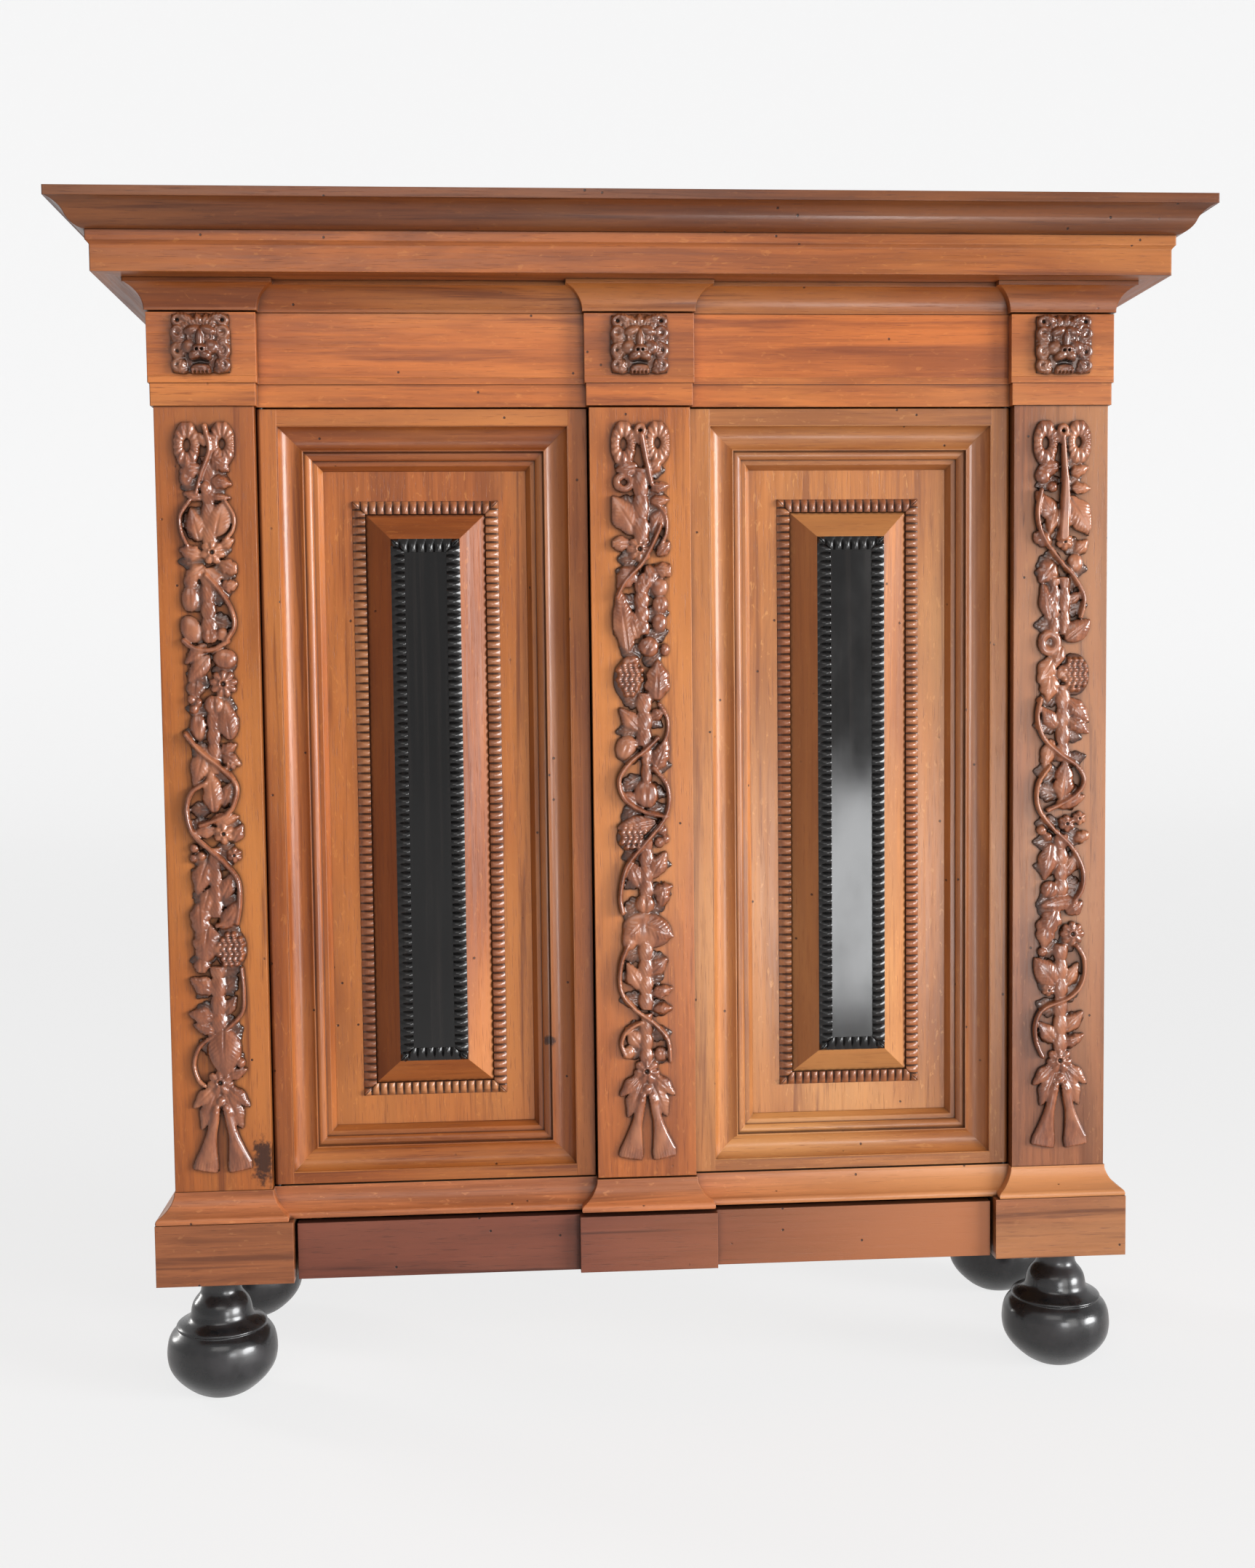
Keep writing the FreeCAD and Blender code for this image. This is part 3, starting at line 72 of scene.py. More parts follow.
# ---- materials
class Nodes:
    """A short way to write the node tree of a material or a world."""

    def __init__(self, name, kind="materials", shader="Principled BSDF"):
        self.owner = getattr(bpy.data, kind).new(name)
        self.owner.use_nodes = True
        self.tree = self.owner.node_tree
        self.shader = self.tree.nodes[shader]

    def add(self, kind, inputs=None, **settings):
        item = self.tree.nodes.new("ShaderNode" + kind)
        for key, value in settings.items():
            setattr(item, key, value)
        for key, value in (inputs or {}).items():
            self.put(value, item.inputs[key])
        return item

    def put(self, value, socket):
        if isinstance(value, bpy.types.NodeSocket):
            self.tree.links.new(value, socket)
        else:
            socket.default_value = value

    def dress(self, colour, rough, normal, coat=(0.0, 0.0), level=0.5, metal=0.0):
        """Fills the shader's sockets and returns the material; a coat is its weight and roughness."""
        for name, value in (("Base Color", colour), ("Roughness", rough), ("Normal", normal),
                            ("Coat Weight", coat[0]), ("Coat Roughness", coat[1]),
                            ("Specular IOR Level", level), ("Metallic", metal)):
            self.put(value, self.shader.inputs[name])
        return self.owner

    def math(self, operation, a, b=0.0, clamp=False):
        return self.add("Math", {0: a, 1: b}, operation=operation, use_clamp=clamp).outputs[0]

    def plus(self, a, b):
        return self.math("ADD", a, b)

    def minus(self, a, b):
        return self.math("SUBTRACT", a, b)

    def times(self, a, b):
        return self.math("MULTIPLY", a, b)

    def size(self, a):
        return self.math("ABSOLUTE", a)

    def above(self, a, b):
        return self.math("GREATER_THAN", a, b)

    def ramp(self, value, low, high, start=0.0, end=1.0):
        """Runs smoothly from start to end while the value goes from low to high."""
        item = self.add("MapRange", {"Value": value, "From Min": low, "From Max": high, "To Min": start,
                                     "To Max": end}, interpolation_type="SMOOTHSTEP")
        return item.outputs["Result"]

    def mix(self, factor, a, b):
        a, b = (tone if isinstance(tone, bpy.types.NodeSocket) else (*tone, 1.0) for tone in (a, b))
        return self.add("Mix", {0: factor, 6: a, 7: b}, data_type="RGBA").outputs[2]

    def over(self, colour, tone, value, low, high, share=1.0):
        """A tone over a colour, from none to its share while the value goes from low to high."""
        return self.mix(self.ramp(value, low, high, 0.0, share), colour, tone)

    def mix_number(self, factor, a, b):
        return self.add("Mix", {0: factor, 2: a, 3: b}, data_type="FLOAT").outputs[0]

    def mix_vector(self, factor, a, b):
        return self.add("Mix", {0: factor, 4: a, 5: b}, data_type="VECTOR").outputs[1]

    def vector(self, a, b, c=0.0):
        return self.add("CombineXYZ", {0: a, 1: b, 2: c}).outputs[0]

    def noise(self, vector, scale, detail=2.0, roughness=0.5, distortion=0.0):
        item = self.add("TexNoise", {"Vector": vector, "Scale": scale, "Detail": detail,
                                     "Roughness": roughness, "Distortion": distortion})
        return item.outputs["Fac"]

    def stretch(self, vector, scale, offset=(0, 0, 0)):
        item = self.add("Mapping", {"Vector": vector, "Scale": scale, "Location": offset})
        return item.outputs["Vector"]

    def grained(self, line, along, across, detail=2.0, roughness=0.5, distortion=0.0, offset=(0, 0, 0)):
        """Noise that changes at one rate along the grain and at another across it."""
        spot = self.stretch(line, (along, across, across), offset)
        return self.noise(spot, 1.0, detail, roughness, distortion)

    def bump(self, height, distance, strength=1.0, **below):
        inputs = {"Height": height, "Distance": distance, "Strength": strength, **below}
        return self.add("Bump", inputs).outputs["Normal"]

    def place(self):
        """The object coordinates and their three parts."""
        spot = self.add("TexCoord").outputs["Object"]
        return (spot, *self.add("SeparateXYZ", {0: spot}).outputs)

    def flat_place(self, shift):
        """Two coordinates that run along whichever way a flat surface faces."""
        _, x, y, z = self.place()
        facing = self.add("SeparateXYZ", {0: self.add("TexCoord").outputs["Normal"]})
        sideways, level = (self.above(self.size(facing.outputs[axis]), 0.7) for axis in (0, 2))
        across = self.mix_number(sideways, x, y)
        return self.vector(self.plus(across, shift), self.mix_number(level, z, y))

    def crevice(self, distance, samples=8):
        """1 in the open and towards 0 in a narrow corner."""
        return self.add("AmbientOcclusion", {"Distance": distance}, samples=samples).outputs["AO"]

    def edge(self, radius):
        """How far towards a board's edge, from 0 to 1, and the normal with softened edges."""
        soft = self.add("Bevel", {"Radius": radius}, samples=6).outputs["Normal"]
        flat = self.add("NewGeometry").outputs["Normal"]
        agreement = self.add("VectorMath", {0: soft, 1: flat}, operation="DOT_PRODUCT").outputs["Value"]
        return self.ramp(agreement, 0.995, 0.8), soft


def on_rail(mat, facts):
    """1 on the level lengths of a mitred frame and 0 on its uprights."""
    _, x, _, z = mat.place()
    past_x, past_z = (mat.minus(mat.size(mat.minus(value, middle)), half)
                      for value, middle, half in zip((x, z), facts[:2], facts[2:]))
    return mat.above(past_z, past_x)


def grain_vector(mat, grain):
    """Object coordinates turned so that X runs along the grain of each board."""
    _, x, y, z = mat.place()
    lines = {"x": mat.vector(x, y, z), "y": mat.vector(y, x, z), "z": mat.vector(z, x, y)}
    if isinstance(grain, str):
        return lines[grain]
    kind, facts = grain
    if kind == "front_and_returns":
        # A mitre at 45 degrees from each front corner of the carcass
        ahead, beside = mat.minus(FACE_Y, y), mat.minus(mat.size(x), CARCASS_HALF)
        return mat.mix_vector(mat.above(ahead, beside), lines["y"], lines["x"])
    if kind == "mitred_frame":
        rail = on_rail(mat, facts)
    else:
        rail = mat.math("LESS_THAN", mat.size(mat.minus(x, facts[0])), facts[2])
    return mat.mix_vector(rail, lines["z"], lines["x"])


def grain_line(mat, grain, offset):
    return mat.stretch(grain_vector(mat, grain), (1, 1, 1), offset)


def side_shade_share(mat, facts, boards):
    """One number for each of the four lengths of a mitred frame: how much painted shade darkens it."""
    _, x, _, z = mat.place()
    left, right, top, bottom = boards
    upright = mat.mix_number(mat.above(x, facts[0]), left, right)
    level = mat.mix_number(mat.above(z, facts[1]), bottom, top)
    return mat.mix_number(on_rail(mat, facts), upright, level)


def valley_dirt_and_shade(mat, node, strength):
    """Dirt and painted shade between the ripples of a rectangular frame of ripple moulding, by place along
    each side.
    """
    _, x, _, z = mat.place()
    facts = frame_facts(node)
    waves = []
    for value, middle, half in zip((x, z), facts[:2], facts[2:]):
        turn = 2 * math.pi * round(2 * half / RIPPLE_PITCH) / (2 * half)
        waves.append(mat.math("COSINE", mat.times(mat.minus(value, middle - half), turn)))
    wave = mat.mix_number(on_rail(mat, facts), waves[1], waves[0])
    return mat.ramp(wave, 0.45, 1.0, 0.0, strength)


# Sizes of what age has done to the wood and of the painted shade in its corners, in metres
RUBBED_EDGE = 0.0022
WIDE_CORNER, NARROW_CORNER = 0.03, 0.007
GRAIN_DEPTH = 0.00035
HOLES_PER_METRE = 12.0
HOLE_RIM, HOLE_FLOOR = 0.034, 0.02  # as shares of the distance between holes
DIRT_AND_SHADE_SHARE = 0.22
RUBBED_SHARE = 1.25


def oak(name, grain, tones, seed, gloss=0.34, dirt=0.85, wear=0.3, flecks=0.3, marks=0.9, coat=0.2,
        stain=None, ripples=None, boards=None, faded=None):
    """Waxed oak: growth bands, pores, ray flecks, dirt and painted shade in the corners, rubbed edges and
    small holes.

    Grain is an axis, or a kind of frame with its facts. A stain is the middle in x and z of a dark
    patch, and its half width and half height. Ripples name the moulding whose hollows get dirt and
    painted shade. Shaded sides say how much painted shade darkens the left, right, top and bottom
    lengths of a mitred frame, those that face away from the light. A tone ramp is an axis, the places
    where another tone starts and where it is full, that tone and its share; on the base and the
    drawer it is painted light, lighter towards the right where the light falls.
    """
    mat = Nodes(name)
    dark, middle, light = tones
    # The darkest tone: for dirt and painted shade in corners and ripple hollows, for stains and for holes
    dirt_and_shade_tone = tuple(c * DIRT_AND_SHADE_SHARE for c in dark)
    line = grain_line(mat, grain, (seed * 1.37, seed * 0.71, seed * 2.13))
    sway = mat.grained(line, 0.7, 5, 3.0)
    wander = mat.add("VectorMath", {0: mat.stretch(line, (0.55, 9, 9)),
                                    1: mat.vector(0.0, mat.times(sway, 2.4), sway)},
                     operation="ADD").outputs[0]
    bands = mat.noise(wander, 2.2, 6.0, 0.62)
    fibres = mat.grained(line, 3.2, 160, 4.0, 0.65)
    pores = mat.grained(line, 22, 620, 2.0, 0.6)
    rays = mat.grained(line, 46, 120, 3.0, 0.6, 0.6, (3.1, 7.7, 1.9))
    clouds = mat.grained(line, 1.1, 3.0, 3.0, 0.55, offset=(9.1, 2.3, 4.4))
    streaks = mat.grained(line, 1.6, 42, 5.0, 0.62, 0.4, (4.3, 8.1, 2.7))
    patches = mat.grained(line, 9, 30, 3.0, 0.6, offset=(5, 5, 5))

    figure = mat.ramp(mat.plus(mat.times(bands, 0.75), mat.times(fibres, 0.25)), 0.36, 0.64)
    colour = mat.mix(figure, tuple(a + (b - a) * 0.3 for a, b in zip(dark, middle)), middle)
    colour = mat.over(colour, light, clouds, 0.42, 0.72, 0.75)
    colour = mat.over(colour, light, rays, 0.6, 0.7, flecks)
    colour = mat.over(colour, dark, pores, 0.6, 0.7, 0.55)
    colour = mat.over(colour, dark, streaks, 0.54, 0.7, 0.75)
    # Painted shade: the lengths of a mitred frame that face away from the light are darker
    if boards:
        colour = mat.mix(side_shade_share(mat, grain[1], boards), colour, dark)
    # A ramp towards another tone along one axis: painted light on the base and the drawer, a darker top on
    # the left pilaster
    if faded:
        axis, start, end, tone, share = faded
        ragged = mat.plus(mat.place()[1 + axis], mat.times(clouds, 0.25))
        colour = mat.over(colour, tone, ragged, start, end, share)

    worn, soft_normal = mat.edge(RUBBED_EDGE)
    rubbed = mat.times(worn, mat.ramp(patches, 0.35, 0.7, 0.1, wear))
    colour = mat.mix(rubbed, colour, tuple(min(1, c * RUBBED_SHARE) for c in light))
    # Dirt and painted shade: darker in wide and narrow corners, by how closed in each place is, more in some
    # patches than others
    wide = mat.ramp(mat.crevice(WIDE_CORNER), 0.88, 0.34, 0.0, 0.85)
    narrow = mat.ramp(mat.crevice(NARROW_CORNER), 0.9, 0.46)
    dirt_and_shade_mask = mat.times(mat.math("MAXIMUM", wide, narrow), mat.ramp(patches, 0.15, 0.75, dirt * 0.6, dirt))
    colour = mat.mix(dirt_and_shade_mask, colour, dirt_and_shade_tone)
    spot, x, _, z = mat.place()
    if stain:
        off_x, off_z = (mat.math("DIVIDE", mat.minus(value, at), half)
                        for value, at, half in zip((x, z), stain[:2], stain[2:]))
        reach = mat.math("SQRT", mat.plus(mat.times(off_x, off_x), mat.times(off_z, off_z)))
        ragged = mat.plus(reach, mat.times(mat.noise(spot, 75.0, 5.0, 0.7), 2.2))
        colour = mat.over(colour, dirt_and_shade_tone, ragged, 2.25, 1.65, 0.95)
    holes = mat.add("TexVoronoi", {"Vector": mat.flat_place(seed), "Scale": HOLES_PER_METRE},
                    voronoi_dimensions="2D").outputs["Distance"]
    chosen = mat.ramp(mat.noise(spot, 9.0, 1.0), 0.54, 0.58)
    hole = mat.times(mat.times(mat.ramp(holes, HOLE_RIM, HOLE_FLOOR), chosen), marks)
    colour = mat.mix(hole, colour, dirt_and_shade_tone)
    # Dirt and painted shade in the hollows between the ripples
    if ripples:
        colour = mat.mix(valley_dirt_and_shade(mat, ripples, 0.8), colour, dirt_and_shade_tone)

    rough = mat.math("ADD", mat.ramp(fibres, 0.3, 0.7, gloss - 0.06, gloss + 0.1),
                     mat.times(dirt_and_shade_mask, 0.2), clamp=True)
    raised = mat.plus(mat.times(fibres, 0.5), mat.times(bands, 0.6))
    sunk = mat.plus(mat.times(mat.ramp(pores, 0.6, 0.7), 0.35), mat.times(hole, 2.5))
    normal = mat.bump(mat.minus(raised, sunk), GRAIN_DEPTH, Normal=soft_normal)
    return mat.dress(colour, rough, normal, (coat, 0.22), 0.42)


def ebony(name, rough, seed):
    """Nearly black polished ebony with a faint grain and fine scratches."""
    mat = Nodes(name)
    line = grain_line(mat, "z", (seed, seed * 2, seed * 3))
    streaks = mat.grained(line, 1.5, 90, 5.0, 0.6)
    smears = mat.grained(line, 5, 9, 5.0, 0.6)
    waves = mat.grained(line, 3.5, 10)
    colour = mat.mix(mat.ramp(streaks, 0.45, 0.75), (0.005, 0.0045, 0.0045), (0.015, 0.012, 0.011))
    normal = mat.bump(mat.plus(waves, mat.times(streaks, 0.03)), 0.0012, 0.5)
    return mat.dress(colour, mat.ramp(smears, 0.3, 0.75, rough, rough + 0.13), normal, (0.3, 0.1), 0.35)


def iron(name):
    """Dark forged iron with scale and a little rust."""
    mat = Nodes(name)
    spot = mat.place()[0]
    scale = mat.noise(spot, 160.0, 5.0, 0.6)
    rust = mat.noise(spot, 38.0, 4.0, 0.6)
    colour = mat.mix(mat.ramp(scale, 0.3, 0.7), (0.03, 0.028, 0.027), (0.085, 0.078, 0.072))
    colour = mat.over(colour, (0.11, 0.045, 0.022), rust, 0.55, 0.72, 0.6)
    return mat.dress(colour, mat.ramp(rust, 0.4, 0.7, 0.38, 0.62), mat.bump(scale, 0.0003), metal=0.85)


def black_wood(name):
    """Ebonised turned wood: glossy black with faint turning lines and dust in the grooves."""
    mat = Nodes(name)
    spot = mat.place()[0]
    rings = mat.noise(mat.stretch(spot, (2, 2, 420)), 1.0, 3.0, 0.6)
    clouds = mat.noise(spot, 14.0, 4.0, 0.6)
    # The faint blue in the black is a painted reflection of daylight
    colour = mat.mix(mat.ramp(clouds, 0.4, 0.7), (0.01, 0.01, 0.011), (0.028, 0.026, 0.028))
    colour = mat.over(colour, (0.03, 0.026, 0.022), mat.crevice(0.02), 0.75, 0.35, 0.5)
    return mat.dress(colour, mat.ramp(clouds, 0.3, 0.75, 0.2, 0.4), mat.bump(rings, 0.00025, 0.7),
                     (0.5, 0.16))


def deeper(tones, share):
    """The same tones, each scaled darker or lighter by a share."""
    return tuple(tuple(min(1.0, c * share) for c in tone) for tone in tones)


CARVED_TONES = ((0.19, 0.056, 0.024), (0.31, 0.098, 0.042), (0.48, 0.18, 0.08))


def carved(name, seat_y, seed, share=1.0):
    """Dark polished carving: reddish brown on the high places, with painted shade, nearly black, in its
    hollows and down by the seat.
    """
    mat = Nodes(name)
    low, middle, high = deeper(CARVED_TONES, share)
    line = grain_line(mat, "z", (seed, seed, seed))
    fibres = mat.grained(line, 30, 110, 3.0, 0.6)
    clouds = mat.grained(line, 9, 14, 3.0, 0.6)
    colour = mat.mix(mat.ramp(fibres, 0.35, 0.68), low, middle)
    colour = mat.over(colour, high, clouds, 0.45, 0.68, 0.7)
    # Painted shade: nearly black in narrow hollows and low down by the seat
    painted_shade = mat.math("MAXIMUM", mat.ramp(mat.crevice(0.012, 12), 0.95, 0.45, 0.0, 0.96),
                    mat.ramp(mat.place()[2], seat_y - 0.0115, seat_y - 0.002, 0.0, 0.92))
    colour = mat.mix(painted_shade, colour, (0.01, 0.004, 0.002))
    return mat.dress(colour, mat.ramp(clouds, 0.3, 0.7, 0.2, 0.32), mat.bump(fibres, 0.0003, 0.7),
                     (0.6, 0.13))


def assign(material, *names):
    for name in names:
        for slot in nodes[name].material_slots:
            slot.material = material


# Dark, middle and light tones of each wood
HONEY = ((0.16, 0.034, 0.007), (0.47, 0.128, 0.024), (0.64, 0.232, 0.056))
RED_OAK = ((0.12, 0.028, 0.009), (0.37, 0.102, 0.027), (0.5, 0.17, 0.05))
BROWN_OAK = ((0.13, 0.036, 0.013), (0.4, 0.13, 0.046), (0.54, 0.225, 0.085))
PALE = ((0.22, 0.066, 0.02), (0.53, 0.19, 0.05), (0.69, 0.32, 0.105))
STAINED = ((0.045, 0.011, 0.007), (0.165, 0.04, 0.022), (0.29, 0.09, 0.05))
BARE = ((0.13, 0.056, 0.024), (0.31, 0.145, 0.062), (0.43, 0.225, 0.105))
# One lighter tone each for the base and the drawer, painted light towards the right where the light falls,
# and a darker tone for the top of the left pilaster
BASE_LIT_RIGHT, DRAWER_LIT_RIGHT, DARK_TOP = (0.62, 0.26, 0.095), (0.48, 0.165, 0.06), (0.22, 0.05, 0.011)
RETURNS = ("front_and_returns", None)
UNWAXED = {"coat": 0.0, "gloss": 0.55}
LOW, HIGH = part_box("pilaster_left")
# Material, grain, tones, how deep they are, seed, what else is said and the nodes that wear it
CARCASS = (
    ("crown", RETURNS, RED_OAK, 0.5, 1, {"dirt": 0.9}, "crown_moulding"),
    ("corona", RETURNS, HONEY, 0.82, 2, {"flecks": 0.35}, "corona"),
    ("bed", RETURNS, HONEY, 0.75, 3, {}, "bed_moulding"),
    ("frieze", RETURNS, HONEY, 1.2, 4, {"flecks": 0.2}, "frieze_boards"),
    ("frieze_block", "x", HONEY, 1, 5, {}, "frieze_blocks"),
    ("architrave", RETURNS, HONEY, 1.1, 6, {}, "architrave"),
    # The base is painted lighter towards the right, where the light falls
    ("base", RETURNS, BROWN_OAK, 1.5, 7, {"wear": 0.5, "faded": (0, -0.1, 1.0, BASE_LIT_RIGHT, 0.75)},
     "base_moulding"),
    ("plinth", "x", BROWN_OAK, 0.9, 8, {"wear": 0.5}, "plinth_fronts"),
    ("sides", "z", HONEY, 1, 9, {}, "front_posts", "rear_posts", "side_panels"),
    ("rails", "y", HONEY, 1, 10, {}, "side_rails", "plinth_sides"),
    ("hidden_x", "x", BARE, 1, 11, UNWAXED, "plinth_back", "base_deck", "cupboard_floor", "shelves",
     "top_boards", "cornice_back_rail", "bolt_cleat", "drawer_bottom"),
    ("hidden_y", "y", BARE, 1, 12, UNWAXED, "foot_blocks", "drawer_guides", "shelf_battens", "drawer_box"),
    ("hidden_z", "z", BARE, 1, 17, UNWAXED, "back_boards"),
    # The left pilaster gets darker towards the top
    ("pilaster_left", "z", HONEY, 0.9, 13, {"stain": (HIGH.x - 0.015, LOW.z + 0.055, 0.022, 0.05),
                                            "faded": (2, 1.35, 2.2, DARK_TOP, 0.5)}, "pilaster_left"),
    ("pilaster_centre", "z", HONEY, 1, 14, {}, "pilaster_centre"),
    ("pilaster_right", "z", BROWN_OAK, 0.82, 15, {}, "pilaster_right"),
    # The drawer is painted lighter towards the right, where the light falls
    ("drawer", "x", STAINED, 0.9, 16,
     {"flecks": 0.1, "coat": 0.1, "faded": (0, -0.05, 0.75, DRAWER_LIT_RIGHT, 0.85)},
     "drawer_front", "drawer_block"),
)


def dress_door(side, seed, frame_tones, tones, knotted):
    """Dresses one door and returns the oak and the ebony of its ripple mouldings."""
    door = f"door_{side}"
    opening = frame_facts(f"{door}_moulding")
    cushion = ("mitred_frame", frame_facts(f"{door}_cushion"))
    assign(oak(f"oak_{side}_frame", ("stiles_and_rails", opening), frame_tones, seed), f"{door}_frame")
    middle_x, middle_z, half_x, half_z = opening
    knot = (middle_x + 0.82 * half_x, middle_z - 0.66 * half_z, 0.012, 0.01) if knotted else None
    # Painted shade on the moulding's right and top lengths, which face away from the light
    assign(oak(f"oak_{side}_moulding", ("mitred_frame", opening), tones, seed + 1, stain=knot,
               boards=(0.0, 0.42, 0.38, 0.08)), f"{door}_moulding")
    assign(oak(f"oak_{side}_field", "z", tones, seed + 2, flecks=0.6), f"{door}_field")
    # Painted shade on the cushion's slopes: most on the left, less on the top and bottom
    assign(oak(f"oak_{side}_cushion", cushion, tones, seed + 3, coat=0.0, gloss=0.46,
               boards=(0.6, 0.0, 0.35, 0.3)), f"{door}_cushion")
    ripple_oak = oak(f"oak_{side}_ripple", cushion, deeper(BROWN_OAK, 0.95), seed + 4, marks=0.0,
                     coat=0.5, ripples=f"{door}_oak_ripple")
    ripple_ebony = ebony(f"ebony_{side}_ripple", 0.24, seed + 1)
    assign(ripple_oak, f"{door}_oak_ripple")
    assign(ripple_ebony, f"{door}_ebony_ripple")
    assign(ebony(f"ebony_{side}_panel", 0.1, seed), f"{door}_ebony_panel")
    return ripple_oak, ripple_ebony


for label, grain, tones, share, seed, ways, *names in CARCASS:
    assign(oak(f"oak_{label}", grain, deeper(tones, share), seed, **ways), *names)
assign(iron("forged_iron"), "pivot_sockets", "lock_case", "lock_bolt", "lock_keeper", "slide_bolt",
       "bolt_staples", "door_left_pivots", "door_right_pivots")
BLACK_FEET = black_wood("black_feet")
assign(BLACK_FEET, "bun_feet")
RIPPLE_WOODS = {"left": dress_door("left", 20, deeper(HONEY, 0.88), deeper(HONEY, 0.88), True),
                "right": dress_door("right", 27, deeper(PALE, 0.88), PALE, False)}
CARVED = {"drops": carved("carved_drops", FACE_Y, 3), "heads": carved("carved_heads", FRIEZE_FACE_Y, 5, 0.6)}

# Cells of the carvings' grids, the heads' width and the least thickness, in millimetres
DROP_CELL, HEAD_CELL, HEAD_WIDTH, THINNEST = 1.6, 1.1, 104, 3.0
CORD_STEPS = 10
FULLNESS = 1.2  # how much fuller leaves and stems are than their rows say


def hand_over(piece, body, node):
    """Says which body a piece rides on and which node it replaces."""
    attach(piece, body)
    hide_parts(node)


# ---- carving
def smooth_line(knots, steps):
    """Points along a smooth curve that passes through the knots."""
    ends = [knots[0], *knots, knots[-1]]
    line = []
    for a, b, c, d in zip(ends, ends[1:], ends[2:], ends[3:]):
        for k in range(steps):
            t = k / steps
            line.append([0.5 * (2 * q + (r - p) * t + (2 * p - 5 * q + 4 * r - s) * t * t
                                + (3 * q - p - 3 * r + s) * t ** 3) for p, q, r, s in zip(a, b, c, d)])
    line.append(list(knots[-1]))
    return line


def new_object(name, points, faces, material):
    mesh = bpy.data.meshes.new(name)
    mesh.from_pydata(points, [], faces)
    mesh.polygons.foreach_set("use_smooth", [True] * len(mesh.polygons))
    mesh.materials.append(material)
    item = bpy.data.objects.new(name, mesh)
    bpy.context.scene.collection.objects.link(item)
    return item


